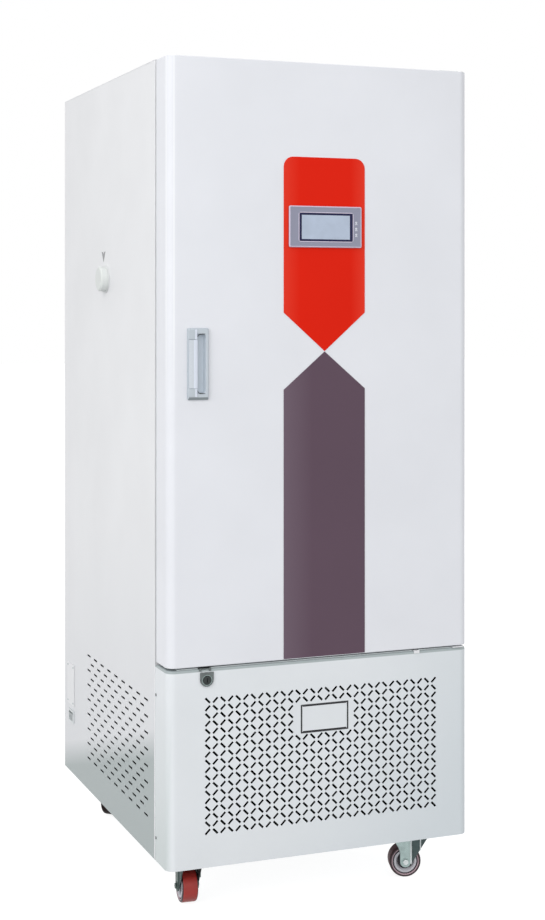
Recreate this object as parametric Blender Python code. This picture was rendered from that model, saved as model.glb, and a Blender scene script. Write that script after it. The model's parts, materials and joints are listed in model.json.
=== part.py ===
"""Insect rearing incubator, 250 litre class, free standing on four swivel casters.

Units are metres, +Z is up, the door faces -Y, and the origin is on the floor under the middle of
the cabinet. The door is hinged on its right side. Below it a slotted cover closes the machine
compartment, which holds the refrigeration set that cools the stainless steel chamber above.
"""
import math

import bmesh
import bpy
from mathutils import Matrix, Vector

# Overall size
WIDTH = 0.640
DEPTH = 0.785
TOP = 1.650
UNDERSIDE = 0.100
SHEET = 0.0015
SEAT = 0.0003

# Door and lower cover
COVER_DEPTH = 0.070
SEAM = 0.008
COVER_RADIUS = 0.018
DOOR_BOTTOM = 0.4840
DOOR_HEADROOM = 0.0015
COVER_TOP = 0.4795
COVER_EDGE = 0.0045
COVER_EDGE_STEPS = 3
LINER_SHEET = 0.002
LINER_CLEARANCE = 0.012
LINER_PLUG = 0.014
LINER_DRAFT = 0.006

# Chamber
CHAMBER_WIDTH = 0.500
CHAMBER_BOTTOM = 0.565
TOP_INSULATION = 0.085
BACK_INSULATION = 0.074
LINER_WALL = 0.001
FRAME_SHEET = 0.002
FRAME_BOTTOM = 0.440
DECK_HEIGHT = 0.500
DECK_LIP = 0.020
PLENUM_DEPTH = 0.098

# Gasket of the door
GASKET_WIDTH = 0.020
GASKET_OVERLAP = 0.015

# Hinges
PIN_INSET = 0.020
PIN_DEPTH = 0.040
PIN_RADIUS = 0.004
PIN_LENGTH = 0.018
BRACKET_SHEET = 0.0025
BRACKET_WIDTH = 0.042
BRACKET_INNER = 0.0302
BRACKET_NOSE = 0.0128
BRACKET_REACH = 0.060
BRACKET_DROP = 0.030
BUSH_RADIUS = 0.0075
BUSH_FLANGE = 0.011

# Door stop, a thin tab over the top of the lower cover
STOP_INSET = 0.110
STOP_WIDTH = 0.012
STOP_SHEET = 0.0012
STOP_FOOT = 0.006
STOP_LIP = 0.0045

# Handle, a cup pull let into the door with a grip bar across its left half
HANDLE_INSET = 0.0603
HANDLE_Z = 1.0620
HANDLE_WIDTH = 0.043
HANDLE_HEIGHT = 0.137
HANDLE_PROUD = 0.008
HANDLE_RIM = 0.0045
HANDLE_CUP_DEPTH = 0.030
HANDLE_BAR_WIDTH = 0.0185
HANDLE_BAR_DEPTH = 0.012
HANDLE_BLOCK = 0.015
HANDLE_WALL = 0.002
HANDLE_CHAMFER = 0.0032

# Coloured films and control panel on the door
FILM = 0.0005
PANEL_X = 0.0031
RED_HALF_WIDTH = 0.0865
RED_TOP = 1.4635
RED_SHOULDER = 1.1595
RED_TIP = 1.0838
RED_RADIUS = 0.020
STRIPE_SHOULDER = 1.0095
STRIPE_MARGIN = 0.002
BEZEL_X = 0.0041
BEZEL_Z = 1.3275
BEZEL_WIDTH = 0.1545
BEZEL_HEIGHT = 0.081
BEZEL_PROUD = 0.004
BEZEL_RADIUS = 0.003
WINDOW_X = 0.0050
WINDOW_Z = 1.3268
WINDOW_WIDTH = 0.114
WINDOW_HEIGHT = 0.0555
LENS_INSET = 0.0008

# Diagonal slots of the lower cover
LATTICE_COLUMNS = 32
LATTICE_ROWS = 18
LATTICE_PITCH_X = 0.01553
LATTICE_PITCH_Z = 0.01475
LATTICE_X = 0.0014
LATTICE_Z = 0.2936
LATTICE_SLOT_LENGTH = 0.0134
LATTICE_SLOT_WIDTH = 0.0042
PLATE_COLUMNS = (12, 19)
PLATE_ROWS = (2, 5)
PLATE_WIDTH = 0.0985
PLATE_HEIGHT = 0.0530
PLATE_SLOT = 0.0028
PLATE_SHIFT_X = 0.002
PLATE_DROP = 0.0015
PLATE_BRIDGE = 0.003

# Horizontal slots of the left side panel
VENT_COLUMNS = 17
VENT_ROWS = 15
VENT_PITCH_Y = 0.0269
VENT_PITCH_Z = 0.0162
VENT_Y = 0.3535
VENT_Z = 0.2846
VENT_LENGTH = 0.026
VENT_WIDTH = 0.0042

# Slots of the back panel
BACK_SLOT_COLUMNS = 3
BACK_SLOT_ROWS = 7
BACK_SLOT_LENGTH = 0.110
BACK_SLOT_WIDTH = 0.006
BACK_SLOT_PITCH_X = 0.150
BACK_SLOT_PITCH_Z = 0.020
BACK_SLOT_Z = 0.300

# Lock, below the left corner of the door
LOCK_INSET = 0.0784
LOCK_Z = 0.4586
LOCK_PLATE_WIDTH = 0.027
LOCK_PLATE_TOP = 0.4736
LOCK_PLATE_SHEET = 0.0025
LOCK_PLATE_RISE = 0.001
LOCK_RADIUS = 0.0085
LOCK_EDGE = 0.001
LOCK_PROUD = 0.002
KEY_SLOT_WIDTH = 0.0018
KEY_SLOT_LENGTH = 0.008
KEY_SLOT_DEPTH = 0.003
LOCK_SHAFT_RADIUS = 0.006
CAM_DEPTH = 0.014
CAM_SHEET = 0.0025
CAM_LENGTH = 0.033
CAM_WIDTH = 0.010
CAM_CLEARANCE = 0.002

# Port in the left wall
PORT_Y = 0.4300
PORT_Z = 1.2304
PORT_BORE = 0.044
PORT_FLANGE = 0.058
PORT_PLUG_HEAD = 0.053
PORT_PLUG_PROUD = 0.0145
PORT_PLUG_ROUND = 0.003
PORT_FLANGE_SHEET = 0.002
PORT_PLUG_LENGTH = 0.040
PORT_SLEEVE_WALL = 0.002

# Mains switch and blank plate, low at the rear of the left side
SWITCH_INSET = 0.0675
SWITCH_Z = 0.2310
SWITCH_WIDTH = 0.040
SWITCH_HEIGHT = 0.028
SWITCH_RIM = 0.0025
SWITCH_PROUD = 0.003
SWITCH_BODY_DEPTH = 0.022
SWITCH_WALL = 0.0015
SWITCH_BACK_WALL = 0.003
ROCKER_PIVOT_DEPTH = 0.003
ROCKER_TILT = math.radians(10)
BLANK_INSET = 0.060
BLANK_Z = 0.3030
BLANK_WIDTH = 0.058
BLANK_HEIGHT = 0.094
BLANK_SHEET = 0.0015

# Mains inlet on the back
INLET_INSET = 0.100
INLET_Z = 0.190
INLET_WIDTH = 0.048
INLET_HEIGHT = 0.028
INLET_BODY_DEPTH = 0.022
INLET_FACE = 0.003
INLET_WALL = 0.004

# Air duct and circulation fan
DUCT_SHEET = 0.0015
FAN_DROP = 0.165
FAN_OPENING = 0.160
FAN_RADIUS = 0.074
FAN_HUB_RADIUS = 0.018
FAN_BLADES = 5
FAN_BLADE_DEPTH = 0.016
FAN_BLADE_SHEET = 0.0016
FAN_BLADE_ROOT = 0.88
FAN_TWIST = math.radians(28)
FAN_BLADE_FLARE = 1.7
FAN_SHAFT_RADIUS = 0.004
MOTOR_RADIUS = 0.032
MOTOR_LENGTH = 0.040
MOTOR_STEP = 0.006
MOTOR_NOSE_RADIUS = 0.0224
MOTOR_BORE_DEPTH = 0.014
SHAFT_REACH = 0.012
RETURN_SLOTS = 7
RETURN_SLOT_WIDTH = 0.380
RETURN_SLOT_HEIGHT = 0.008
RETURN_SLOT_PITCH = 0.020
RETURN_SLOT_Z = 0.630

# Shelves and their fittings
SHELF_FIRST = 0.195
SHELF_PITCH = 0.230
SHELF_BAR = 0.006
SHELF_WIRE_RADIUS = 0.002
SHELF_WIRES = 15
SHELF_WALL_GAP = 0.016
SHELF_FRONT_GAP = 0.040
SHELF_BACK_GAP = 0.055
STANDARD_WIDTH = 0.018
STANDARD_DEPTH = 0.006
STANDARD_SLOTS = 6
STANDARD_SLOT_HEIGHT = 0.010
STANDARD_SLOT_WIDTH = 0.005
STANDARD_INSET = 0.070
STANDARD_SHARE = 0.92
RUNNER_REACH = 0.012
RUNNER_SHEET = 0.0015
RUNNER_HEIGHT = 0.016
RUNNER_END = 0.030

# Light bar of the chamber
LIGHT_BAR_WIDTH = 0.022
LIGHT_BAR_DEPTH = 0.012
LIGHT_BAR_LENGTH = 0.440
LIGHT_BAR_Y = 0.030

# Temperature probe on the duct panel
PROBE_DROP = 0.060
PROBE_X = 0.150
PROBE_HEAD_RADIUS = 0.009
PROBE_HEAD = 0.008
PROBE_RADIUS = 0.003
PROBE_CONE = 0.002
PROBE_LENGTH = 0.062

# Refrigeration set
COMPRESSOR_SIDE = 0.170
COMPRESSOR_INSET = 0.2425
COMPRESSOR_RADIUS = 0.082
COMPRESSOR_HEIGHT = 0.185
COMPRESSOR_BASE_RADIUS = 0.0705
COMPRESSOR_BASE_RISE = 0.0205
COMPRESSOR_DOME = 0.045
COMPRESSOR_SEAM = 0.006
COMPRESSOR_SEAM_PROUD = 0.003
COMPRESSOR_FOOT_SPAN = 0.150
COMPRESSOR_FOOT_GAUGE = 0.093
COMPRESSOR_FOOT_RADIUS = 0.012
COMPRESSOR_FOOT_HEIGHT = 0.016
COMPRESSOR_PLATE = 0.003
CONDENSER_X = -0.070
CONDENSER_WIDTH = 0.280
CONDENSER_HEIGHT = 0.260
CONDENSER_DEPTH = 0.044
CONDENSER_STANDOFF = 0.030
CONDENSER_FINS = 15
SHROUD_DEPTH = 0.040
SHROUD_OPENING = 0.228
SHROUD_SHEET = 0.002
SHROUD_ARM = 0.012
SHROUD_ARM_SHEET = 0.003
SHROUD_ARM_REACH = 0.028
CONDENSER_FAN_RADIUS = 0.106
CONDENSER_FAN_HUB = 0.0234
CONDENSER_FAN_OFFSET = 0.008
CONDENSER_MOTOR_LENGTH = 0.045
EVAPORATOR_WIDTH = 0.360
EVAPORATOR_HEIGHT = 0.260
EVAPORATOR_DEPTH = 0.060
EVAPORATOR_DROP = 0.060
EVAPORATOR_FINS = 15
FIN = 0.0025
COIL_CORE = 0.010
HEATER_RADIUS = 0.005
HEATER_WIDTH = 0.300
HEATER_HEIGHT = 0.120
HEATER_DROP = 0.200
HEATER_FOOT = 0.010
CONTROL_BOX_WIDTH = 0.120
CONTROL_BOX_DEPTH = 0.170
CONTROL_BOX_HEIGHT = 0.200
CONTROL_BOX_SIDE = 0.045
CONTROL_BOX_INSET = 0.2025
CONTROL_BOX_BEVEL = 0.003

# Base and casters
BASE_SHEET = 0.0025
BASE_LIP = 0.032
BASE_FRONT = 0.022
CASTER_SIDE = 0.073
CASTER_FRONT = 0.082
CASTER_REAR = 0.105
CASTER_PLATE = 0.062
CASTER_PLATE_SHEET = 0.003
CASTER_TRAIL = 0.028
WHEEL_RADIUS = 0.0325
WHEEL_WIDTH = 0.032
WHEEL_HUB_RADIUS = 0.021
WHEEL_SHOULDER = 0.004
WHEEL_DISH = 0.005
WHEEL_BOSS = 0.010
WHEEL_BORE = 0.0045
AXLE_RADIUS = 0.0042
FORK_SHEET = 0.0025
FORK_CLEARANCE = 0.002
FORK_HEAD_RADIUS = 0.024
FORK_HEAD_HEIGHT = 0.007
FORK_NOSE = 0.022
FORK_SKIRT = 0.004
FORK_EYE = 0.011
AXLE_HEAD_RADIUS = 0.0065
AXLE_HEAD = 0.004
CASTER_TURNS = {"fl": -4.5, "fr": 73.0, "rl": -45.0, "rr": 30.0}

# Places worked out from the sizes above
FRONT = -DEPTH / 2
BACK = DEPTH / 2
COVER_BACK = FRONT + COVER_DEPTH
BODY_FRONT = COVER_BACK + SEAM
DOOR_TOP = TOP - DOOR_HEADROOM
HALF = WIDTH / 2
INSIDE = HALF - SHEET - SEAT
ROOF = TOP - SHEET - SEAT
CHAMBER_HALF = CHAMBER_WIDTH / 2
CHAMBER_TOP = TOP - TOP_INSULATION
CHAMBER_HEIGHT = CHAMBER_TOP - CHAMBER_BOTTOM
CHAMBER_BACK = BACK - BACK_INSULATION
PIN_X = HALF - PIN_INSET
PIN_Y = FRONT + PIN_DEPTH
DUCT_FRONT = CHAMBER_BACK - PLENUM_DEPTH
BASE_TOP = UNDERSIDE + BASE_SHEET
HANDLE_X = -HALF + HANDLE_INSET
LOCK_X = -HALF + LOCK_INSET
INLET_X = -HALF + INLET_INSET
COMPRESSOR_X = HALF - COMPRESSOR_SIDE
COMPRESSOR_Y = BACK - COMPRESSOR_INSET
FAN_Z = CHAMBER_TOP - FAN_DROP
EVAPORATOR_Z = FAN_Z - FAN_OPENING / 2 - EVAPORATOR_DROP - EVAPORATOR_HEIGHT
HEATER_Z = EVAPORATOR_Z - HEATER_DROP
SHELF_FRONT = BODY_FRONT + SHELF_FRONT_GAP
SHELF_REAR = DUCT_FRONT - SHELF_BACK_GAP
SHELF_LEVELS = {
    "low": CHAMBER_BOTTOM + SHELF_FIRST,
    "middle": CHAMBER_BOTTOM + SHELF_FIRST + SHELF_PITCH,
    "high": CHAMBER_BOTTOM + SHELF_FIRST + 2 * SHELF_PITCH,
}
CASTER_PLACES = {
    "fl": (-HALF + CASTER_SIDE, FRONT + CASTER_FRONT),
    "fr": (HALF - CASTER_SIDE, FRONT + CASTER_FRONT),
    "rl": (-HALF + CASTER_SIDE, BACK - CASTER_REAR),
    "rr": (HALF - CASTER_SIDE, BACK - CASTER_REAR),
}
CLOSE = 0.01


def material(name, colour, roughness, metallic=0.0):
    """A Principled material; colour is linear RGB."""
    found = bpy.data.materials.get(name)
    if found:
        return found
    made = bpy.data.materials.new(name)
    made.use_nodes = True
    shader = made.node_tree.nodes["Principled BSDF"]
    shader.inputs["Base Color"].default_value = (*colour, 1.0)
    shader.inputs["Roughness"].default_value = roughness
    shader.inputs["Metallic"].default_value = metallic
    return made


def clear_scene():
    for thing in list(bpy.data.objects):
        bpy.data.objects.remove(thing, do_unlink=True)


def add_object(name, bm, look, origin=(0, 0, 0), smooth=False, parent=None):
    """Turn a bmesh in world coordinates into an object whose origin is the given point."""
    bmesh.ops.recalc_face_normals(bm, faces=bm.faces)
    bmesh.ops.translate(bm, verts=bm.verts, vec=-Vector(origin))
    mesh = bpy.data.meshes.new(name)
    bm.to_mesh(mesh)
    bm.free()
    mesh.materials.append(look)
    if smooth:
        mesh.shade_smooth()
        mesh.set_sharp_from_angle(angle=math.radians(35))
    return place_mesh(name, mesh, origin, parent)


def place_mesh(name, mesh, origin=(0, 0, 0), parent=None):
    placed = bpy.data.objects.new(name, mesh)
    bpy.context.collection.objects.link(placed)
    placed.location = origin
    placed.parent = parent
    return placed


def add_pivot(name, origin, turn=0.0):
    """An empty on a joint's axis."""
    pivot = bpy.data.objects.new(name, None)
    bpy.context.collection.objects.link(pivot)
    pivot.location = origin
    pivot.rotation_euler = (0, 0, turn)
    return pivot


def hide_cutter(cutter):
    cutter.hide_render = True
    cutter.display_type = "WIRE"
    return cutter


def combine(target, bm, operation="DIFFERENCE", origin=(0, 0, 0)):
    """Add an exact Boolean to the target, with the bmesh as its hidden second body."""
    look = target.data.materials[0]
    count = sum(m.type == "BOOLEAN" for m in target.modifiers)
    other = add_object(f"{target.name}_{operation.lower()}_{count}", bm, look, origin)
    hide_cutter(other)
    boolean = target.modifiers.new(operation.lower(), "BOOLEAN")
    boolean.operation = operation
    boolean.solver = "EXACT"
    boolean.object = other
    return other


def applied_mesh(target, name):
    """The target's mesh with its modifiers applied; the target and its cutters are removed."""
    bpy.context.view_layer.update()
    graph = bpy.context.evaluated_depsgraph_get()
    mesh = bpy.data.meshes.new_from_object(target.evaluated_get(graph))
    mesh.name = name
    for modifier in list(target.modifiers):
        if modifier.type == "BOOLEAN":
            bpy.data.objects.remove(modifier.object, do_unlink=True)
    bpy.data.objects.remove(target, do_unlink=True)
    return mesh


def put_box(bm, low, high):
    """Add a box between two corners."""
    middle = [(a + b) / 2 for a, b in zip(low, high)]
    size = [b - a for a, b in zip(low, high)]
    place = Matrix.Translation(middle) @ Matrix.Diagonal((*size, 1.0))
    return bmesh.ops.create_cube(bm, size=1.0, matrix=place)["verts"]


def box_mesh(low, high):
    bm = bmesh.new()
    put_box(bm, low, high)
    return bm


AXES = {
    "x": Matrix(((0, 0, 1, 0), (1, 0, 0, 0), (0, 1, 0, 0), (0, 0, 0, 1))),
    "y": Matrix(((1, 0, 0, 0), (0, 0, 1, 0), (0, 1, 0, 0), (0, 0, 0, 1))),
    "z": Matrix.Identity(4),
}


def put_prism(bm, outline, axis, start, end):
    """Extrude a closed outline along an axis.

    The outline's two numbers are (y, z) along x, (x, z) along y and (x, y) along z.
    """
    turn = AXES[axis]
    bottom = [bm.verts.new(turn @ Vector((a, b, start))) for a, b in outline]
    top = [bm.verts.new(turn @ Vector((a, b, end))) for a, b in outline]
    bm.faces.new(bottom)
    bm.faces.new(list(reversed(top)))
    count = len(outline)
    for i in range(count):
        j = (i + 1) % count
        bm.faces.new((bottom[i], top[i], top[j], bottom[j]))


def prism_mesh(outline, axis, start, end):
    bm = bmesh.new()
    put_prism(bm, outline, axis, start, end)
    return bm


def put_lathe(bm, profile, axis, centre, segments=24):
    """Turn a profile of (radius, distance along the axis) about an axis through the centre.

    A profile whose ends have radius 0 closes at its poles; any other profile is a closed ring.
    """
    turn = Matrix.Translation(centre) @ AXES[axis]
    rings = []
    for radius, along in profile:
        if radius == 0:
            rings.append([bm.verts.new(turn @ Vector((0, 0, along)))])
            continue
        ring = []
        for k in range(segments):
            angle = 2 * math.pi * k / segments
            point = Vector((radius * math.cos(angle), radius * math.sin(angle), along))
            ring.append(bm.verts.new(turn @ point))
        rings.append(ring)
    closed = profile[0][0] != 0
    pairs = list(zip(rings, rings[1:]))
    if closed:
        pairs.append((rings[-1], rings[0]))
    for low, high in pairs:
        for k in range(segments):
            n = (k + 1) % segments
            corners = [low[k % len(low)], low[n % len(low)], high[n % len(high)], high[k % len(high)]]
            bm.faces.new(list(dict.fromkeys(corners)))


def lathe_mesh(profile, axis, centre, segments=24):
    bm = bmesh.new()
    put_lathe(bm, profile, axis, centre, segments)
    return bm


def disc(radius, start, end):
    """The profile of a plain cylinder."""
    return [(0, start), (radius, start), (radius, end), (0, end)]


def put_tray(bm, low, high, wall, open_axis, open_sign):
    """A box with walls of one thickness and one open side."""
    inner_low = [a + wall for a in low]
    inner_high = [b - wall for b in high]
    index = "xyz".index(open_axis)
    if open_sign > 0:
        inner_high[index] = high[index]
    else:
        inner_low[index] = low[index]

    def corners(a, b):
        made = {}
        for i in (0, 1):
            for j in (0, 1):
                for k in (0, 1):
                    point = ((a, b)[i][0], (a, b)[j][1], (a, b)[k][2])
                    made[i, j, k] = bm.verts.new(point)
        return made

    def side(made, axis, end):
        others = [n for n in range(3) if n != axis]
        loop = []
        for p, q in ((0, 0), (0, 1), (1, 1), (1, 0)):
            key = [0, 0, 0]
            key[axis] = end
            key[others[0]] = p
            key[others[1]] = q
            loop.append(made[tuple(key)])
        return loop

    outer = corners(low, high)
    inner = corners(inner_low, inner_high)
    open_end = 1 if open_sign > 0 else 0
    for axis in range(3):
        for end in (0, 1):
            if axis == index and end == open_end:
                continue
            bm.faces.new(side(outer, axis, end))
            bm.faces.new(side(inner, axis, end))
    rim_out = side(outer, index, open_end)
    rim_in = side(inner, index, open_end)
    for i in range(4):
        j = (i + 1) % 4
        bm.faces.new((rim_out[i], rim_out[j], rim_in[j], rim_in[i]))


def put_frame(bm, outer, inner, start, end):
    """A rectangular ring in the XZ plane; outer and inner are (x0, z0, x1, z1)."""
    def loop(edges, y):
        x0, z0, x1, z1 = edges
        return [bm.verts.new((x, y, z)) for x, z in ((x0, z0), (x1, z0), (x1, z1), (x0, z1))]

    loops = [loop(outer, start), loop(outer, end), loop(inner, end), loop(inner, start)]
    for a, b in zip(loops, loops[1:] + loops[:1]):
        for i in range(4):
            j = (i + 1) % 4
            bm.faces.new((a[i], a[j], b[j], b[i]))


def cover_outline(half, front, back, radius, steps=6):
    """The plan of a cover: flat front, round vertical edges and straight returns."""
    outline = [(half, back)]
    for k in range(steps + 1):
        angle = math.pi / 2 * k / steps
        outline.append((half - radius + radius * math.cos(angle),
                        front + radius - radius * math.sin(angle)))
    outline += [(-x, y) for x, y in reversed(outline)]
    return outline


def put_stack(bm, layers):
    """Join closed outlines in (x, y), each at its own height, into one solid."""
    loops = [[bm.verts.new((x, y, z)) for x, y in outline] for outline, z in layers]
    bm.faces.new(loops[0])
    bm.faces.new(list(reversed(loops[-1])))
    count = len(loops[0])
    for low, high in zip(loops, loops[1:]):
        for i in range(count):
            j = (i + 1) % count
            bm.faces.new((low[i], high[i], high[j], low[j]))


def cover_mesh(half, front, back, radius, bottom, top, edge):
    """A cover's block whose top edge is rounded along its front and sides."""
    layers = [(cover_outline(half, front, back, radius), bottom)]
    for k in range(COVER_EDGE_STEPS + 1):
        angle = math.pi / 2 * k / COVER_EDGE_STEPS
        inset = edge * (1 - math.cos(angle))
        layers.append((cover_outline(half - inset, front + inset, back, radius - inset),
                       top - edge + edge * math.sin(angle)))
    bm = bmesh.new()
    put_stack(bm, layers)
    return bm


def rounded_rectangle(x, z, width, height, radius, steps=3):
    """A closed outline in the XZ plane."""
    outline = []
    for corner in range(4):
        start = corner * math.pi / 2
        across = width / 2 - radius
        up = height / 2 - radius
        cx = x + across * (1 if corner in (0, 3) else -1)
        cz = z + up * (1 if corner in (0, 1) else -1)
        for k in range(steps + 1):
            angle = start + math.pi / 2 * k / steps
            outline.append((cx + radius * math.cos(angle), cz + radius * math.sin(angle)))
    return outline


WHITE_PAINT = material("white_paint", (0.72, 0.73, 0.74), 0.42)
DOOR_PAINT = material("door_paint", (0.76, 0.77, 0.80), 0.38)
STAINLESS = material("stainless", (0.62, 0.63, 0.64), 0.32, 0.9)
GALVANISED = material("galvanised", (0.55, 0.57, 0.58), 0.45, 0.8)
FOAM = material("foam", (0.85, 0.78, 0.52), 0.9)
LINER_PLASTIC = material("liner_plastic", (0.80, 0.81, 0.80), 0.5)
DARK_PLASTIC = material("dark_plastic", (0.03, 0.03, 0.035), 0.5)
GASKET = material("gasket", (0.42, 0.43, 0.44), 0.75)
SILVER_PLASTIC = material("silver_plastic", (0.50, 0.54, 0.60), 0.35, 0.3)
RED_FILM = material("red_film", (0.70, 0.015, 0.006), 0.35)
STRIPE_FILM = material("stripe_film", (0.115, 0.075, 0.100), 0.4)
LENS = material("lens", (0.02, 0.02, 0.025), 0.1)
BLACK_STEEL = material("black_steel", (0.015, 0.015, 0.016), 0.45, 0.2)
LOCK_METAL = material("lock_metal", (0.16, 0.17, 0.17), 0.4, 0.7)
ZINC = material("zinc", (0.52, 0.56, 0.56), 0.35, 0.85)
POLYURETHANE = material("polyurethane", (0.33, 0.03, 0.025), 0.5)
NYLON = material("nylon", (0.75, 0.75, 0.72), 0.5)
SILICONE = material("silicone", (0.78, 0.80, 0.79), 0.6)
ALUMINIUM = material("aluminium", (0.70, 0.71, 0.72), 0.4, 0.9)
DIFFUSER = material("diffuser", (0.90, 0.90, 0.86), 0.5)


def make_side_panel(name, side):
    """A folded sheet with a flange at the back, slotted beside the machine compartment."""
    flange_back = BACK - SHEET - SEAT
    flange = 0.020
    outline = [(HALF, BODY_FRONT), (HALF, flange_back), (HALF - flange, flange_back),
               (HALF - flange, flange_back - SHEET), (HALF - SHEET, flange_back - SHEET),
               (HALF - SHEET, BODY_FRONT)]
    outline = [(side * x, y) for x, y in outline]
    panel = add_object(name, prism_mesh(outline, "z", UNDERSIDE, ROOF), WHITE_PAINT)
    if side < 0:
        centre = (side * HALF, FRONT + PORT_Y, PORT_Z)
        hole = disc(PORT_BORE / 2 + PORT_SLEEVE_WALL + SEAT, -CLOSE, CLOSE)
        combine(panel, lathe_mesh(hole, "x", centre))
        y = BACK - SWITCH_INSET
        across = SWITCH_WIDTH / 2 - SWITCH_RIM + SEAT
        up = SWITCH_HEIGHT / 2 - SWITCH_RIM + SEAT
        combine(panel, box_mesh((-HALF - CLOSE, y - across, SWITCH_Z - up),
                                (-HALF + CLOSE, y + across, SWITCH_Z + up)))
        combine(panel, vent_cutters())
    return panel


def vent_cutters():
    """Staggered horizontal slots of the left side panel, beside the machine compartment."""
    bm = bmesh.new()
    for row in range(VENT_ROWS):
        z = VENT_Z + (row - (VENT_ROWS - 1) / 2) * VENT_PITCH_Z
        for column in range(VENT_COLUMNS):
            if (row + column) % 2:
                continue
            y = FRONT + VENT_Y + (column - (VENT_COLUMNS - 1) / 2) * VENT_PITCH_Y
            put_box(bm, (-HALF - CLOSE, y - VENT_LENGTH / 2, z - VENT_WIDTH / 2),
                    (-HALF + CLOSE, y + VENT_LENGTH / 2, z + VENT_WIDTH / 2))
    return bm


def make_top_panel():
    add_object("top_panel", box_mesh((-HALF, BODY_FRONT, TOP - SHEET), (HALF, BACK, TOP)), WHITE_PAINT)


def make_back_panel():
    """A flat sheet screwed on the flanges of the side panels, slotted low for the warm air."""
    panel = add_object("back_panel", box_mesh((-HALF, BACK - SHEET, UNDERSIDE), (HALF, BACK, ROOF)),
                       WHITE_PAINT)
    bm = bmesh.new()
    for row in range(BACK_SLOT_ROWS):
        z = BACK_SLOT_Z + (row - (BACK_SLOT_ROWS - 1) / 2) * BACK_SLOT_PITCH_Z
        for column in range(BACK_SLOT_COLUMNS):
            x = (column - (BACK_SLOT_COLUMNS - 1) / 2) * BACK_SLOT_PITCH_X
            put_box(bm, (x - BACK_SLOT_LENGTH / 2, BACK - CLOSE, z - BACK_SLOT_WIDTH / 2),
                    (x + BACK_SLOT_LENGTH / 2, BACK + CLOSE, z + BACK_SLOT_WIDTH / 2))
    combine(panel, bm)
    across = INLET_WIDTH / 2 - SWITCH_RIM + SEAT
    up = INLET_HEIGHT / 2 - SWITCH_RIM + SEAT
    combine(panel, box_mesh((INLET_X - across, BACK - CLOSE, INLET_Z - up),
                            (INLET_X + across, BACK + CLOSE, INLET_Z + up)))


def make_base_tray():
    """The folded floor of the cabinet, which carries the machinery, with four caster plates below."""
    bm = bmesh.new()
    put_tray(bm, (-INSIDE, FRONT + BASE_FRONT, UNDERSIDE),
             (INSIDE, BACK - 2 * SHEET - 2 * SEAT, UNDERSIDE + BASE_LIP), BASE_SHEET, "z", 1)
    tray = add_object("base_tray", bm, GALVANISED)
    plates = bmesh.new()
    half = CASTER_PLATE / 2
    for x, y in CASTER_PLACES.values():
        put_box(plates, (x - half, y - half, UNDERSIDE - CASTER_PLATE_SHEET),
                (x + half, y + half, UNDERSIDE + BASE_SHEET / 2))
    combine(tray, plates, "UNION")


def make_front_frame():
    """The flat steel surround of the chamber opening, on which the gasket closes."""
    bm = bmesh.new()
    put_frame(bm, (-INSIDE, FRAME_BOTTOM, INSIDE, ROOF - SEAT),
              (-CHAMBER_HALF, CHAMBER_BOTTOM, CHAMBER_HALF, CHAMBER_TOP),
              BODY_FRONT, BODY_FRONT + FRAME_SHEET)
    add_object("front_frame", bm, WHITE_PAINT)


def port_cutter(extra):
    """A round bar along X through the left wall at the port."""
    reach = HALF - CHAMBER_HALF + 2 * CLOSE
    centre = (-HALF - CLOSE, FRONT + PORT_Y, PORT_Z)
    return lathe_mesh(disc(PORT_BORE / 2 + PORT_SLEEVE_WALL + extra, 0, reach), "x", centre)


def make_inner_liner():
    """The stainless steel chamber, open to the front."""
    bm = bmesh.new()
    low = (-CHAMBER_HALF - LINER_WALL, BODY_FRONT + FRAME_SHEET + SEAT, CHAMBER_BOTTOM - LINER_WALL)
    high = (CHAMBER_HALF + LINER_WALL, CHAMBER_BACK + LINER_WALL, CHAMBER_TOP + LINER_WALL)
    put_tray(bm, low, high, LINER_WALL, "y", -1)
    liner = add_object("inner_liner", bm, STAINLESS)
    combine(liner, port_cutter(SEAT))


def make_insulation():
    """Rigid foam that fills the walls between the liner and the outer panels."""
    front = BODY_FRONT + FRAME_SHEET + SEAT
    back = BACK - 2 * SHEET - 2 * SEAT
    low = (-INSIDE, front, DECK_HEIGHT + SEAT)
    high = (INSIDE, back, ROOF - SEAT)
    foam = add_object("insulation_foam", box_mesh(low, high), FOAM)
    gap = LINER_WALL + SEAT
    combine(foam, box_mesh((-CHAMBER_HALF - gap, front - CLOSE, CHAMBER_BOTTOM - gap),
                           (CHAMBER_HALF + gap, CHAMBER_BACK + gap, CHAMBER_TOP + gap)))
    combine(foam, port_cutter(SEAT))


def make_machine_deck():
    """The sheet between the machine compartment and the insulation, with lips at its sides."""
    front = BODY_FRONT + FRAME_SHEET + SEAT
    back = BACK - 2 * SHEET - 2 * SEAT
    bm = bmesh.new()
    put_tray(bm, (-INSIDE, front, DECK_HEIGHT - DECK_LIP), (INSIDE, back, DECK_HEIGHT), SHEET, "z", -1)
    add_object("machine_deck", bm, GALVANISED)


def make_air_duct():
    """The duct panel in front of the evaporator: a round fan opening above, return slots below."""
    bm = bmesh.new()
    fit = SEAT * 2
    put_tray(bm, (-CHAMBER_HALF + fit, DUCT_FRONT, CHAMBER_BOTTOM + fit),
             (CHAMBER_HALF - fit, CHAMBER_BACK - SEAT, CHAMBER_TOP - fit), DUCT_SHEET, "y", 1)
    panel = add_object("air_duct_panel", bm, STAINLESS)
    combine(panel, lathe_mesh(disc(FAN_OPENING / 2, -CLOSE, CLOSE), "y", (0, DUCT_FRONT, FAN_Z), 32))
    bm = bmesh.new()
    for row in range(RETURN_SLOTS):
        z = RETURN_SLOT_Z + row * RETURN_SLOT_PITCH
        put_box(bm, (-RETURN_SLOT_WIDTH / 2, DUCT_FRONT - CLOSE, z),
                (RETURN_SLOT_WIDTH / 2, DUCT_FRONT + CLOSE, z + RETURN_SLOT_HEIGHT))
    combine(panel, bm)


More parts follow.
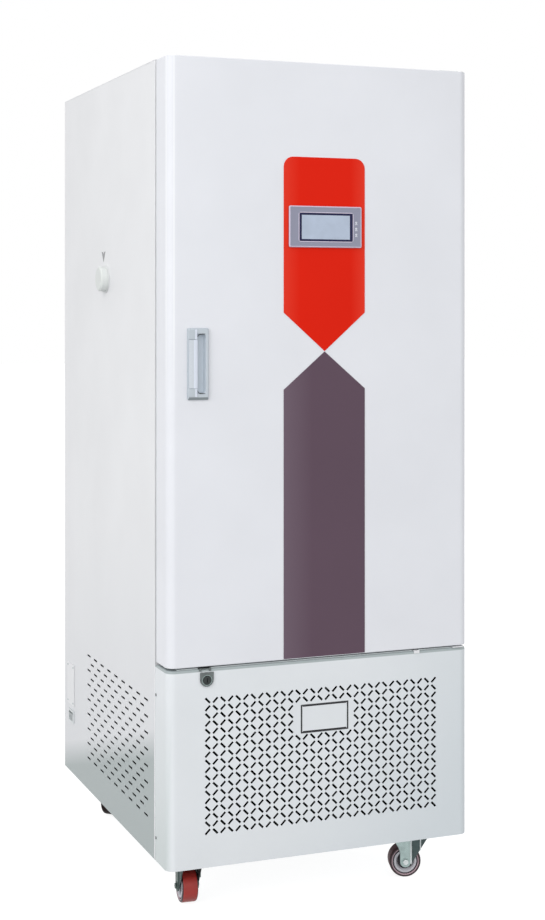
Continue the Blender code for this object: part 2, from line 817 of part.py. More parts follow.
def make_fin_block(name, low, high, fins):
    """A finned coil: upright fins on both faces of a flat core, between two header plates."""
    middle = (low[1] + high[1]) / 2
    pitch = (high[0] - low[0] - 3 * FIN) / (fins - 1)
    front = []
    for k in range(fins):
        x = low[0] + FIN + k * pitch
        front += [(x, low[1] + FIN), (x + FIN, low[1] + FIN)]
        if k < fins - 1:
            front += [(x + FIN, middle - COIL_CORE / 2), (x + pitch, middle - COIL_CORE / 2)]
    back = [(x, 2 * middle - y) for x, y in reversed(front)]
    core = prism_mesh(front + back, "z", low[2] + FIN, high[2] - FIN)
    block = add_object(name, core, ALUMINIUM)
    headers = bmesh.new()
    for x in (low[0], high[0] - 2 * FIN):
        put_box(headers, (x, low[1], low[2]), (x + 2 * FIN, high[1], high[2]))
    combine(block, headers, "UNION")


def make_fan(name, centre, radius, hub_radius, shaft_end):
    """A bladed rotor about Y with its shaft reaching back into the motor."""
    cx, cy, cz = centre
    half_depth = FAN_BLADE_DEPTH / 2
    profile = [(0, -half_depth), (hub_radius, -half_depth), (hub_radius, half_depth),
               (FAN_SHAFT_RADIUS, half_depth), (FAN_SHAFT_RADIUS, shaft_end - cy), (0, shaft_end - cy)]
    rotor = add_object(name, lathe_mesh(profile, "y", centre, 20), BLACK_STEEL, centre, True)
    bm = bmesh.new()
    for k in range(FAN_BLADES):
        blade = put_box(bm, (hub_radius * FAN_BLADE_ROOT, -FAN_BLADE_SHEET / 2, -hub_radius / 2),
                        (radius, FAN_BLADE_SHEET / 2, hub_radius / 2))
        for vert in blade:
            if vert.co.x > hub_radius:
                vert.co.z *= FAN_BLADE_FLARE
        bmesh.ops.rotate(bm, verts=blade, matrix=Matrix.Rotation(FAN_TWIST, 3, "X"))
        bmesh.ops.rotate(bm, verts=blade, matrix=Matrix.Rotation(2 * math.pi * k / FAN_BLADES, 3, "Y"))
        bmesh.ops.translate(bm, verts=blade, vec=(cx, cy, cz))
    combine(rotor, bm, "UNION", centre)


def motor_profile(length):
    """A fan motor: a drum with a stepped front and a blind bore for the shaft."""
    bore = FAN_SHAFT_RADIUS + SEAT
    return [(0, length), (MOTOR_RADIUS, length), (MOTOR_RADIUS, MOTOR_STEP), (MOTOR_NOSE_RADIUS, 0),
            (bore, 0), (bore, MOTOR_BORE_DEPTH), (0, MOTOR_BORE_DEPTH)]


def make_circulation_fan():
    """The motor stands on the back wall of the chamber and the rotor turns in the duct's opening."""
    motor_front = CHAMBER_BACK - SEAT - MOTOR_LENGTH
    add_object("circulation_fan_motor",
               lathe_mesh(motor_profile(MOTOR_LENGTH), "y", (0, motor_front, FAN_Z), 20),
               DARK_PLASTIC, smooth=True)
    rotor_y = motor_front - SEAT - FAN_BLADE_DEPTH / 2
    make_fan("circulation_fan_blades", (0, rotor_y, FAN_Z), FAN_RADIUS, FAN_HUB_RADIUS,
             motor_front + SHAFT_REACH)


def make_evaporator():
    """The cooling coil, held to the back wall of the chamber by its header plates."""
    low = (-EVAPORATOR_WIDTH / 2, CHAMBER_BACK - SEAT - EVAPORATOR_DEPTH, EVAPORATOR_Z)
    high = (EVAPORATOR_WIDTH / 2, CHAMBER_BACK - SEAT, EVAPORATOR_Z + EVAPORATOR_HEIGHT)
    make_fin_block("evaporator", low, high, EVAPORATOR_FINS)


def make_heater():
    """A hairpin heating rod with two mounting feet on the back wall of the chamber."""
    y = CHAMBER_BACK - PLENUM_DEPTH / 2
    half = HEATER_WIDTH / 2
    bends = 6
    route = [(-half, HEATER_Z), (half - HEATER_HEIGHT / 2, HEATER_Z)]
    for k in range(1, bends):
        angle = -math.pi / 2 + math.pi * k / bends
        route.append((half - HEATER_HEIGHT / 2 + HEATER_HEIGHT / 2 * math.cos(angle),
                      HEATER_Z + HEATER_HEIGHT / 2 + HEATER_HEIGHT / 2 * math.sin(angle)))
    route += [(half - HEATER_HEIGHT / 2, HEATER_Z + HEATER_HEIGHT), (-half, HEATER_Z + HEATER_HEIGHT)]
    bm = bmesh.new()
    sides = 8
    rings = []
    for i, (x, z) in enumerate(route):
        before = Vector(route[max(i - 1, 0)])
        after = Vector(route[min(i + 1, len(route) - 1)])
        along = (after - before).normalized()
        across = Vector((-along.y, along.x))
        ring = []
        for k in range(sides):
            angle = 2 * math.pi * k / sides
            side = HEATER_RADIUS * math.cos(angle)
            ring.append(bm.verts.new((x + across.x * side, y + HEATER_RADIUS * math.sin(angle),
                                      z + across.y * side)))
        rings.append(ring)
    for a, b in zip(rings, rings[1:]):
        for k in range(sides):
            n = (k + 1) % sides
            bm.faces.new((a[k], a[n], b[n], b[k]))
    bm.faces.new(rings[0])
    bm.faces.new(list(reversed(rings[-1])))
    heater = add_object("heater_element", bm, STAINLESS, smooth=True)
    bm = bmesh.new()
    for x in (-half * 0.8, half * 0.3):
        put_box(bm, (x - HEATER_FOOT / 2, y - HEATER_RADIUS, HEATER_Z - HEATER_RADIUS),
                (x + HEATER_FOOT / 2, CHAMBER_BACK - SEAT, HEATER_Z + HEATER_RADIUS))
    combine(heater, bm, "UNION")


def shelf_places():
    """The Y places of the front and rear shelf standards."""
    return SHELF_FRONT + STANDARD_INSET, SHELF_REAR - STANDARD_INSET


def make_shelf_rack(name, side):
    """Two uprights on a side wall of the chamber, joined by the angled runners of the shelves."""
    wall = CHAMBER_HALF - SEAT
    face = wall - STANDARD_DEPTH
    length = CHAMBER_HEIGHT * STANDARD_SHARE
    z0 = CHAMBER_BOTTOM + (CHAMBER_HEIGHT - length) / 2
    front, rear = shelf_places()
    bm = bmesh.new()
    cuts = bmesh.new()
    for y in (front, rear):
        put_box(bm, (min(side * wall, side * face), y - STANDARD_WIDTH / 2, z0),
                (max(side * wall, side * face), y + STANDARD_WIDTH / 2, z0 + length))
        for k in range(STANDARD_SLOTS):
            z = z0 + length * (k + 0.5) / STANDARD_SLOTS
            put_box(cuts, (min(side * wall, side * face) - CLOSE, y - STANDARD_SLOT_WIDTH / 2,
                           z - STANDARD_SLOT_HEIGHT / 2),
                    (max(side * wall, side * face) + CLOSE, y + STANDARD_SLOT_WIDTH / 2,
                     z + STANDARD_SLOT_HEIGHT / 2))
    rack = add_object(name, bm, STAINLESS)
    combine(rack, cuts)
    bm = bmesh.new()
    for level in SHELF_LEVELS.values():
        top = level - SEAT
        outer = wall - STANDARD_DEPTH / 2
        outline = [(outer, top), (face - RUNNER_REACH, top), (face - RUNNER_REACH, top - RUNNER_SHEET),
                   (face - RUNNER_SHEET, top - RUNNER_SHEET), (face - RUNNER_SHEET, top - RUNNER_HEIGHT),
                   (outer, top - RUNNER_HEIGHT)]
        outline = [(side * x, z) for x, z in outline]
        put_prism(bm, outline, "y", front - RUNNER_END, rear + RUNNER_END)
    combine(rack, bm, "UNION")


def make_shelf(name, level):
    """A wire shelf: a rectangular frame lying on its runners, with cross wires welded on top."""
    half = CHAMBER_HALF - SHELF_WALL_GAP + SHELF_BAR
    bm = bmesh.new()
    put_frame(bm, (-half, SHELF_FRONT, half, SHELF_REAR),
              (-half + SHELF_BAR, SHELF_FRONT + SHELF_BAR, half - SHELF_BAR, SHELF_REAR - SHELF_BAR),
              0, SHELF_BAR)
    for vert in bm.verts:
        vert.co = Vector((vert.co.x, vert.co.z, level + vert.co.y))
    shelf = add_object(name, bm, STAINLESS)
    bm = bmesh.new()
    top = level + SHELF_BAR + SHELF_WIRE_RADIUS / 2
    inset = SHELF_BAR / 4
    for k in range(SHELF_WIRES):
        x = (k - (SHELF_WIRES - 1) / 2) * (2 * half - SHELF_BAR * 3) / (SHELF_WIRES - 1)
        put_box(bm, (x - SHELF_WIRE_RADIUS, SHELF_FRONT + inset, top - SHELF_WIRE_RADIUS),
                (x + SHELF_WIRE_RADIUS, SHELF_REAR - inset, top + SHELF_WIRE_RADIUS))
    combine(shelf, bm, "UNION")


def make_chamber_light():
    """A light bar along the front of the chamber's ceiling, with bevelled lower edges."""
    y = BODY_FRONT + LIGHT_BAR_Y
    ceiling = CHAMBER_TOP - SEAT
    bevel = LIGHT_BAR_DEPTH / 3
    half = LIGHT_BAR_WIDTH / 2
    outline = [(y - half, ceiling), (y - half, ceiling - LIGHT_BAR_DEPTH + bevel),
               (y - half + bevel, ceiling - LIGHT_BAR_DEPTH),
               (y + half - bevel, ceiling - LIGHT_BAR_DEPTH),
               (y + half, ceiling - LIGHT_BAR_DEPTH + bevel), (y + half, ceiling)]
    add_object("chamber_light", prism_mesh(outline, "x", -LIGHT_BAR_LENGTH / 2, LIGHT_BAR_LENGTH / 2),
               DIFFUSER)


def make_probe():
    """The temperature probe, a thin sheathed rod held in a block on the duct panel."""
    centre = (PROBE_X, DUCT_FRONT - SEAT, CHAMBER_TOP - PROBE_DROP)
    profile = [(0, 0), (PROBE_HEAD_RADIUS, 0), (PROBE_HEAD_RADIUS, -PROBE_HEAD),
               (PROBE_RADIUS, -PROBE_HEAD - PROBE_CONE), (PROBE_RADIUS, PROBE_CONE - PROBE_LENGTH),
               (0, -PROBE_LENGTH)]
    add_object("temperature_probe", lathe_mesh(profile, "y", centre, 12), STAINLESS, smooth=True)


def make_port():
    """A lined hole through the left wall, closed by a soft plug that pulls out to the left."""
    y = FRONT + PORT_Y
    outside = -HALF - SEAT
    inner_end = -CHAMBER_HALF
    bore = PORT_BORE / 2
    outer = bore + PORT_SLEEVE_WALL
    face = outside - PORT_FLANGE_SHEET
    profile = [(PORT_FLANGE / 2, face), (PORT_FLANGE / 2, outside), (outer, outside),
               (outer, inner_end), (bore, inner_end), (bore, face)]
    add_object("port_sleeve", lathe_mesh(profile, "x", (0, y, PORT_Z)), LINER_PLASTIC, smooth=True)
    head = face - SEAT
    tip = head + PORT_PLUG_LENGTH
    knob = PORT_PLUG_HEAD / 2
    rounding = PORT_PLUG_ROUND
    profile = [(0, head - PORT_PLUG_PROUD), (knob - rounding, head - PORT_PLUG_PROUD),
               (knob, head - PORT_PLUG_PROUD + rounding), (knob, head), (bore - SEAT, head),
               (bore - 2 * SEAT, tip - rounding), (bore - rounding, tip), (0, tip)]
    add_object("port_plug", lathe_mesh(profile, "x", (0, y, PORT_Z)), SILICONE, (head, y, PORT_Z), True)


def make_side_fittings():
    """The mains switch and the blank plate, low at the rear of the left side."""
    y = BACK - SWITCH_INSET
    outside = -HALF - SEAT
    across = SWITCH_WIDTH / 2
    up = SWITCH_HEIGHT / 2
    bm = bmesh.new()
    put_box(bm, (outside - SWITCH_PROUD, y - across, SWITCH_Z - up), (outside, y + across, SWITCH_Z + up))
    housing = add_object("switch_housing", bm, DARK_PLASTIC)
    rim = SWITCH_RIM
    combine(housing, box_mesh((outside - CLOSE / 10, y - across + rim, SWITCH_Z - up + rim),
                              (outside + SWITCH_BODY_DEPTH, y + across - rim, SWITCH_Z + up - rim)), "UNION")
    wall = rim + SWITCH_WALL
    combine(housing, box_mesh((outside - CLOSE, y - across + wall, SWITCH_Z - up + wall),
                              (outside + SWITCH_BODY_DEPTH - SWITCH_BACK_WALL,
                                y + across - wall, SWITCH_Z + up - wall)))
    pivot_x = outside + ROCKER_PIVOT_DEPTH
    front = ROCKER_PIVOT_DEPTH * 2
    half = up - wall - 4 * SEAT
    neutral = [(-front, -half), (-front * 0.75, 0), (-front, half), (front / 6, half * 0.85),
               (front * 0.8, 0), (front / 6, -half * 0.85)]
    rocked = []
    for x, z in neutral:
        rocked.append((pivot_x + x * math.cos(ROCKER_TILT) - z * math.sin(ROCKER_TILT),
                       SWITCH_Z + x * math.sin(ROCKER_TILT) + z * math.cos(ROCKER_TILT)))
    span = (y - across + wall + SEAT, y + across - wall - SEAT)
    add_object("rocker_switch", prism_mesh(rocked, "y", *span), BLACK_STEEL, (pivot_x, y, SWITCH_Z))
    plate_y = BACK - BLANK_INSET
    add_object("side_blank_plate",
               box_mesh((outside - BLANK_SHEET, plate_y - BLANK_WIDTH / 2, BLANK_Z - BLANK_HEIGHT / 2),
                        (outside, plate_y + BLANK_WIDTH / 2, BLANK_Z + BLANK_HEIGHT / 2)), WHITE_PAINT)


def make_power_inlet():
    """A three-pin inlet socket on the back panel."""
    outside = BACK + SEAT
    across = INLET_WIDTH / 2
    up = INLET_HEIGHT / 2
    rim = SWITCH_RIM
    inlet = add_object("power_inlet", box_mesh((INLET_X - across, outside, INLET_Z - up),
                                               (INLET_X + across, outside + INLET_FACE, INLET_Z + up)),
                       DARK_PLASTIC)
    combine(inlet, box_mesh((INLET_X - across + rim, outside - INLET_BODY_DEPTH, INLET_Z - up + rim),
                            (INLET_X + across - rim, outside + SEAT, INLET_Z + up - rim)), "UNION")
    wall = rim + INLET_WALL
    combine(inlet, box_mesh((INLET_X - across + wall * 2, outside - INLET_BODY_DEPTH + INLET_WALL,
                             INLET_Z - up + wall),
                            (INLET_X + across - wall * 2, outside + CLOSE, INLET_Z + up - wall)))


def make_compressor():
    """A hermetic compressor: a domed drum welded on a mounting plate, on four rubber grommets."""
    plate_low = BASE_TOP + SEAT + COMPRESSOR_FOOT_HEIGHT
    start = plate_low + COMPRESSOR_PLATE / 2
    end = plate_low + COMPRESSOR_HEIGHT
    radius = COMPRESSOR_RADIUS
    profile = [(0, start), (COMPRESSOR_BASE_RADIUS, start), (radius, start + COMPRESSOR_BASE_RISE)]
    seam_low = (start + end) / 2 - COMPRESSOR_SEAM
    seam_high = (start + end) / 2 + COMPRESSOR_SEAM
    proud = radius + COMPRESSOR_SEAM_PROUD
    profile += [(radius, seam_low), (proud, seam_low), (proud, seam_high), (radius, seam_high),
                (radius, end - COMPRESSOR_DOME)]
    for k in range(1, 4):
        angle = math.pi / 2 * k / 4
        profile.append((radius * math.cos(angle), end - COMPRESSOR_DOME * (1 - math.sin(angle))))
    profile.append((0, end))
    centre = (COMPRESSOR_X, COMPRESSOR_Y, 0)
    drum = add_object("compressor", lathe_mesh(profile, "z", centre, 16), BLACK_STEEL, smooth=True)
    across = COMPRESSOR_FOOT_SPAN / 2 + COMPRESSOR_FOOT_RADIUS
    deep = COMPRESSOR_FOOT_GAUGE / 2 + COMPRESSOR_FOOT_RADIUS
    combine(drum, box_mesh((COMPRESSOR_X - across, COMPRESSOR_Y - deep, plate_low),
                           (COMPRESSOR_X + across, COMPRESSOR_Y + deep, plate_low + COMPRESSOR_PLATE)),
            "UNION")
    bm = bmesh.new()
    for sx in (-1, 1):
        for sy in (-1, 1):
            foot = (COMPRESSOR_X + sx * COMPRESSOR_FOOT_SPAN / 2,
                    COMPRESSOR_Y + sy * COMPRESSOR_FOOT_GAUGE / 2, 0)
            put_lathe(bm, disc(COMPRESSOR_FOOT_RADIUS, BASE_TOP + SEAT, plate_low + COMPRESSOR_PLATE / 2),
                      "z", foot, 8)
    combine(drum, bm, "UNION")


def condenser_box():
    low = (CONDENSER_X - CONDENSER_WIDTH / 2, FRONT + CONDENSER_STANDOFF + SHEET, BASE_TOP + SEAT)
    high = (CONDENSER_X + CONDENSER_WIDTH / 2, low[1] + CONDENSER_DEPTH, low[2] + CONDENSER_HEIGHT)
    return low, high


def make_condenser_set():
    """The condenser coil behind the lower cover, with its fan in a shroud behind it."""
    low, high = condenser_box()
    make_fin_block("condenser", low, high, CONDENSER_FINS)
    bm = bmesh.new()
    shroud_front = high[1] + SEAT
    middle_z = (low[2] + high[2]) / 2
    put_tray(bm, (low[0], shroud_front, low[2]), (high[0], shroud_front + SHROUD_DEPTH, high[2]),
             SHROUD_SHEET, "y", -1)
    shroud = add_object("condenser_fan_shroud", bm, BLACK_STEEL)
    back = shroud_front + SHROUD_DEPTH
    combine(shroud, lathe_mesh(disc(SHROUD_OPENING / 2, -CLOSE, CLOSE), "y",
                               (CONDENSER_X, back, middle_z), 32))
    arm_back = back + SHROUD_ARM_REACH
    sheet = SHROUD_ARM_SHEET
    out = SHROUD_OPENING / 2 + SHROUD_ARM
    foot = back - SHROUD_SHEET / 2
    arm = [(out, foot), (out, arm_back), (-out, arm_back), (-out, foot), (sheet - out, foot),
           (sheet - out, arm_back - sheet), (out - sheet, arm_back - sheet), (out - sheet, foot)]
    arm = [(CONDENSER_X + x, y) for x, y in arm]
    half = SHROUD_ARM / 2
    combine(shroud, prism_mesh(arm, "z", middle_z - half, middle_z + half), "UNION")
    motor_front = arm_back + SEAT
    add_object("condenser_fan_motor",
               lathe_mesh(disc(MOTOR_RADIUS, 0, CONDENSER_MOTOR_LENGTH), "y",
                          (CONDENSER_X, motor_front, middle_z), 16), DARK_PLASTIC, smooth=True)
    make_fan("condenser_fan_blades", (CONDENSER_X, back + CONDENSER_FAN_OFFSET, middle_z),
             CONDENSER_FAN_RADIUS, CONDENSER_FAN_HUB, arm_back - SHROUD_ARM_SHEET - SEAT)


def make_control_box():
    """The sealed box of the power electronics, on the floor of the machine compartment."""
    x = -INSIDE + CONTROL_BOX_SIDE
    y = BACK - CONTROL_BOX_INSET
    z = BASE_TOP + SEAT
    bm = box_mesh((x, y - CONTROL_BOX_DEPTH / 2, z),
                  (x + CONTROL_BOX_WIDTH, y + CONTROL_BOX_DEPTH / 2, z + CONTROL_BOX_HEIGHT))
    bmesh.ops.bevel(bm, geom=bm.edges, offset=CONTROL_BOX_BEVEL, segments=1, affect="EDGES")
    add_object("control_box", bm, GALVANISED)


def lattice_cutters():
    """Diagonal slots that lean left and right in turn, with a window for the plain plate."""
    bm = bmesh.new()
    half_length = LATTICE_SLOT_LENGTH / 2
    half_width = LATTICE_SLOT_WIDTH / 2
    for row in range(LATTICE_ROWS):
        z = LATTICE_Z + ((LATTICE_ROWS - 1) / 2 - row) * LATTICE_PITCH_Z
        for column in range(LATTICE_COLUMNS):
            in_columns = PLATE_COLUMNS[0] <= column <= PLATE_COLUMNS[1]
            in_rows = PLATE_ROWS[0] <= row <= PLATE_ROWS[1]
            if in_columns and in_rows:
                continue
            x = LATTICE_X + (column - (LATTICE_COLUMNS - 1) / 2) * LATTICE_PITCH_X
            lean = 45 if (row + column) % 2 == 0 else -45
            slot = put_box(bm, (-half_length, -CLOSE, -half_width), (half_length, CLOSE, half_width))
            bmesh.ops.rotate(bm, verts=slot, matrix=Matrix.Rotation(math.radians(lean), 3, "Y"))
            bmesh.ops.translate(bm, verts=slot, vec=(x, FRONT, z))
    return bm


def plate_cutters():
    """Four straight slots round the plain plate in the middle of the lattice."""
    bm = bmesh.new()
    middle_column = sum(PLATE_COLUMNS) / 2 - (LATTICE_COLUMNS - 1) / 2
    middle_row = (LATTICE_ROWS - 1) / 2 - sum(PLATE_ROWS) / 2
    x = LATTICE_X + middle_column * LATTICE_PITCH_X + PLATE_SHIFT_X
    z = LATTICE_Z + middle_row * LATTICE_PITCH_Z - PLATE_DROP
    half = PLATE_SLOT / 2
    across = PLATE_WIDTH / 2
    up = PLATE_HEIGHT / 2
    for side in (-1, 1):
        put_box(bm, (x + side * across - half, FRONT - CLOSE, z - up),
                (x + side * across + half, FRONT + CLOSE, z + up))
        put_box(bm, (x - across + PLATE_BRIDGE, FRONT - CLOSE, z + side * (up - half) - half),
                (x + across - PLATE_BRIDGE, FRONT + CLOSE, z + side * (up - half) + half))
    return bm


def make_lower_cover():
    """The cover of the machine compartment, a deep tray with round edges and a slotted front."""
    back = BODY_FRONT - SEAT
    cover = add_object("lower_front_panel", cover_mesh(HALF, FRONT, back, COVER_RADIUS, UNDERSIDE,
                                                       COVER_TOP, COVER_EDGE), WHITE_PAINT)
    combine(cover, cover_mesh(HALF - SHEET, FRONT + SHEET, back + CLOSE, COVER_RADIUS - SHEET,
                              UNDERSIDE - CLOSE, COVER_TOP - SHEET, COVER_EDGE - SHEET))
    combine(cover, box_mesh((-HALF + SHEET, COVER_BACK, COVER_TOP - 2 * SHEET),
                            (HALF - SHEET, back + CLOSE, COVER_TOP + CLOSE)))
    holes = bmesh.new()
    put_lathe(holes, disc(LOCK_SHAFT_RADIUS + 2 * SEAT, -CLOSE / 2, CLOSE / 2), "y",
              (LOCK_X, FRONT, LOCK_Z), 16)
    put_box(holes, *cam_slot(COVER_TOP))
    combine(cover, holes)
    combine(cover, lattice_cutters())
    combine(cover, plate_cutters())


def cam_slot(height):
    """The slot that lets the cam of the lock rise through a sheet at the given height."""
    rise = height - LOCK_Z
    reach = math.sqrt(max(CAM_LENGTH ** 2 - (rise - CAM_WIDTH / 2) ** 2, 0))
    clear = CAM_CLEARANCE
    low = (LOCK_X - CAM_WIDTH / 2 - clear, FRONT + CAM_DEPTH - clear, height - 2 * SHEET)
    high = (LOCK_X + reach + clear, FRONT + CAM_DEPTH + CAM_SHEET + clear, height + 2 * SHEET)
    return low, high


def make_lock():
    """A cam lock in a U-shaped plate; the cam rises into the door's lower edge when it is turned."""
    plate_back = FRONT - SEAT
    plate_front = plate_back - LOCK_PLATE_SHEET
    radius = LOCK_PLATE_WIDTH / 2
    outline = [(LOCK_X - radius, LOCK_PLATE_TOP), (LOCK_X + radius, LOCK_PLATE_TOP)]
    steps = 10
    for k in range(steps + 1):
        angle = -math.pi * k / steps
        outline.append((LOCK_X + radius * math.cos(angle),
                        LOCK_Z + LOCK_PLATE_RISE + radius * math.sin(angle)))
    plate = add_object("lock_plate", prism_mesh(outline, "y", plate_front, plate_back), LOCK_METAL)
    combine(plate, lathe_mesh(disc(LOCK_RADIUS + SEAT, -CLOSE, CLOSE), "y",
                              (LOCK_X, FRONT, LOCK_Z), 20))
    face = plate_front - LOCK_PROUD
    neck = plate_back - SEAT
    tail = FRONT + CAM_DEPTH + CAM_SHEET
    profile = [(0, face), (LOCK_RADIUS - LOCK_EDGE, face), (LOCK_RADIUS, face + LOCK_EDGE),
               (LOCK_RADIUS, neck), (LOCK_SHAFT_RADIUS, neck), (LOCK_SHAFT_RADIUS, tail), (0, tail)]
    cylinder = add_object("lock_cylinder", lathe_mesh(profile, "y", (LOCK_X, 0, LOCK_Z), 20), LOCK_METAL,
                          (LOCK_X, FRONT, LOCK_Z))
    cam = box_mesh((LOCK_X - CAM_WIDTH / 2, tail - CAM_SHEET, LOCK_Z - CAM_WIDTH / 2),
                   (LOCK_X + CAM_LENGTH, tail + CAM_SHEET / 2, LOCK_Z + CAM_WIDTH / 2))
    combine(cylinder, cam, "UNION", (LOCK_X, FRONT, LOCK_Z))
    key = box_mesh((LOCK_X - KEY_SLOT_WIDTH / 2, face - CLOSE, LOCK_Z - KEY_SLOT_LENGTH / 2),
                   (LOCK_X + KEY_SLOT_WIDTH / 2, face + KEY_SLOT_DEPTH, LOCK_Z + KEY_SLOT_LENGTH / 2))
    combine(cylinder, key, "DIFFERENCE", (LOCK_X, FRONT, LOCK_Z))


def make_hinge_brackets():
    """The fixed halves of both hinges: a steel angle with its pin."""
    x0 = PIN_X - BRACKET_INNER
    x1 = x0 + BRACKET_WIDTH
    nose = PIN_Y - BRACKET_NOSE
    low = TOP + SEAT
    top = add_object("hinge_bracket_top", box_mesh((x0, nose, low), (x1, BODY_FRONT + BRACKET_REACH,
                                                                     low + BRACKET_SHEET)), ZINC)
    combine(top, lathe_mesh(disc(PIN_RADIUS, TOP - PIN_LENGTH, low + BRACKET_SHEET / 2), "z",
                            (PIN_X, PIN_Y, 0), 16), "UNION")
    face = BODY_FRONT - SEAT
    plate_high = DOOR_BOTTOM - DOOR_HEADROOM
    plate_low = plate_high - BRACKET_SHEET
    foot = plate_low - BRACKET_DROP
    outline = [(nose, plate_low), (nose, plate_high), (face, plate_high), (face, foot),
               (face - BRACKET_SHEET, foot), (face - BRACKET_SHEET, plate_low)]
    bottom = add_object("hinge_bracket_bottom", prism_mesh(outline, "x", x0, x1), ZINC)
    combine(bottom, lathe_mesh(disc(PIN_RADIUS, plate_high - BRACKET_SHEET / 2,
                                    DOOR_BOTTOM + PIN_LENGTH), "z", (PIN_X, PIN_Y, 0), 16), "UNION")


def make_door_stop():
    """A thin tab in the gap under the door, held by the frame, with a lip over the lower cover."""
    face = BODY_FRONT - SEAT
    low = COVER_TOP + SEAT
    high = low + STOP_SHEET
    nose = FRONT - SEAT - STOP_SHEET
    outline = [(nose, low - STOP_LIP), (nose, high), (face - STOP_SHEET, high),
               (face - STOP_SHEET, low + STOP_FOOT), (face, low + STOP_FOOT), (face, low),
               (nose + STOP_SHEET, low), (nose + STOP_SHEET, low - STOP_LIP)]
    right = HALF - STOP_INSET
    add_object("door_stop_tab", prism_mesh(outline, "x", right - STOP_WIDTH, right), ZINC)


def handle_pocket(fit):
    """The opening of the door for the cup of the handle, larger by the fit."""
    across = HANDLE_WIDTH / 2 - HANDLE_RIM + fit
    up = HANDLE_HEIGHT / 2 - HANDLE_RIM + fit
    return box_mesh((HANDLE_X - across, FRONT - CLOSE, HANDLE_Z - up),
                    (HANDLE_X + across, FRONT + HANDLE_CUP_DEPTH + fit, HANDLE_Z + up))


def make_door_shell(origin):
    """The outer skin of the door, a deep tray with round vertical edges, open at the back."""
    outline = cover_outline(HALF, FRONT, COVER_BACK, COVER_RADIUS)
    shell = add_object("door_shell", prism_mesh(outline, "z", DOOR_BOTTOM, DOOR_TOP), DOOR_PAINT, origin)
    inner = cover_outline(HALF - SHEET, FRONT + SHEET, COVER_BACK + CLOSE, COVER_RADIUS - SHEET)
    combine(shell, prism_mesh(inner, "z", DOOR_BOTTOM + SHEET, DOOR_TOP - SHEET), "DIFFERENCE", origin)
    holes = bmesh.new()
    for z in (DOOR_BOTTOM, DOOR_TOP):
        put_lathe(holes, disc(BUSH_RADIUS + SEAT, z - CLOSE, z + CLOSE), "z", (PIN_X, PIN_Y, 0), 20)
    put_box(holes, *cam_slot(DOOR_BOTTOM))
    combine(shell, holes, "DIFFERENCE", origin)
    combine(shell, handle_pocket(SEAT), "DIFFERENCE", origin)


def make_door_liner(origin):
    """The inner face of the door: a flat band for the gasket round a raised, drafted plug."""
    half = HALF - SHEET - SEAT
    low = (-half, COVER_BACK - LINER_SHEET, DOOR_BOTTOM + SHEET + SEAT)
    high = (half, COVER_BACK, DOOR_TOP - SHEET - SEAT)
    liner = add_object("door_liner", box_mesh(low, high), LINER_PLASTIC, origin)
    plug_half = CHAMBER_HALF - LINER_CLEARANCE
    plug_low = CHAMBER_BOTTOM + LINER_CLEARANCE
    plug_high = CHAMBER_TOP - LINER_CLEARANCE
    plug = box_mesh((-plug_half, COVER_BACK - LINER_SHEET / 2, plug_low),
                    (plug_half, COVER_BACK + LINER_PLUG, plug_high))
    for vert in plug.verts:
        if vert.co.y > COVER_BACK:
            vert.co.x -= math.copysign(LINER_DRAFT, vert.co.x)
            vert.co.z -= math.copysign(LINER_DRAFT, vert.co.z - (plug_low + plug_high) / 2)
    combine(liner, plug, "UNION", origin)


def make_door_foam(origin):
    """The foam core of the door."""
    skin = SHEET + SEAT
    back = COVER_BACK - LINER_SHEET - SEAT
    outline = cover_outline(HALF - skin, FRONT + skin, back, COVER_RADIUS - skin)
    foam = add_object("door_foam", prism_mesh(outline, "z", DOOR_BOTTOM + skin, DOOR_TOP - skin), FOAM,
                      origin)
    combine(foam, handle_pocket(2 * SEAT), "DIFFERENCE", origin)
    holes = bmesh.new()
    for z in (DOOR_BOTTOM, DOOR_TOP):
        put_lathe(holes, disc(BUSH_RADIUS + 2 * SEAT, z - PIN_LENGTH - CLOSE / 2,
                              z + PIN_LENGTH + CLOSE / 2), "z", (PIN_X, PIN_Y, 0), 20)
    low, high = cam_slot(DOOR_BOTTOM)
    put_box(holes, low, (high[0], high[1], LOCK_Z + CAM_LENGTH + CLOSE / 2))
    combine(foam, holes, "DIFFERENCE", origin)


def make_door_gasket(origin):
    """The magnetic gasket between the door's liner and the front frame."""
    outer_x = CHAMBER_HALF + GASKET_OVERLAP + GASKET_WIDTH
    inner_x = outer_x - GASKET_WIDTH
    low = CHAMBER_BOTTOM - GASKET_OVERLAP
    high = CHAMBER_TOP + GASKET_OVERLAP
    bm = bmesh.new()
    put_frame(bm, (-outer_x, low - GASKET_WIDTH, outer_x, high + GASKET_WIDTH),
              (-inner_x, low, inner_x, high), COVER_BACK + SEAT, BODY_FRONT - SEAT)
    add_object("door_gasket", bm, GASKET, origin)


def make_hinge_bushes(origin):
    """Flanged nylon bushes in the door, turning on the hinge pins."""
    bore = PIN_RADIUS + SEAT
    for name, face, way in (("bottom", DOOR_BOTTOM, 1), ("top", DOOR_TOP, -1)):
        seat = face - way * SEAT
        flange = face - way * (DOOR_HEADROOM - SEAT)
        end = face + way * PIN_LENGTH
        profile = [(BUSH_FLANGE, flange), (BUSH_FLANGE, seat), (BUSH_RADIUS, seat), (BUSH_RADIUS, end),
                   (bore, end), (bore, flange)]
        add_object(f"hinge_bush_{name}", lathe_mesh(profile, "z", (PIN_X, PIN_Y, 0), 14), NYLON, origin,
                   True)


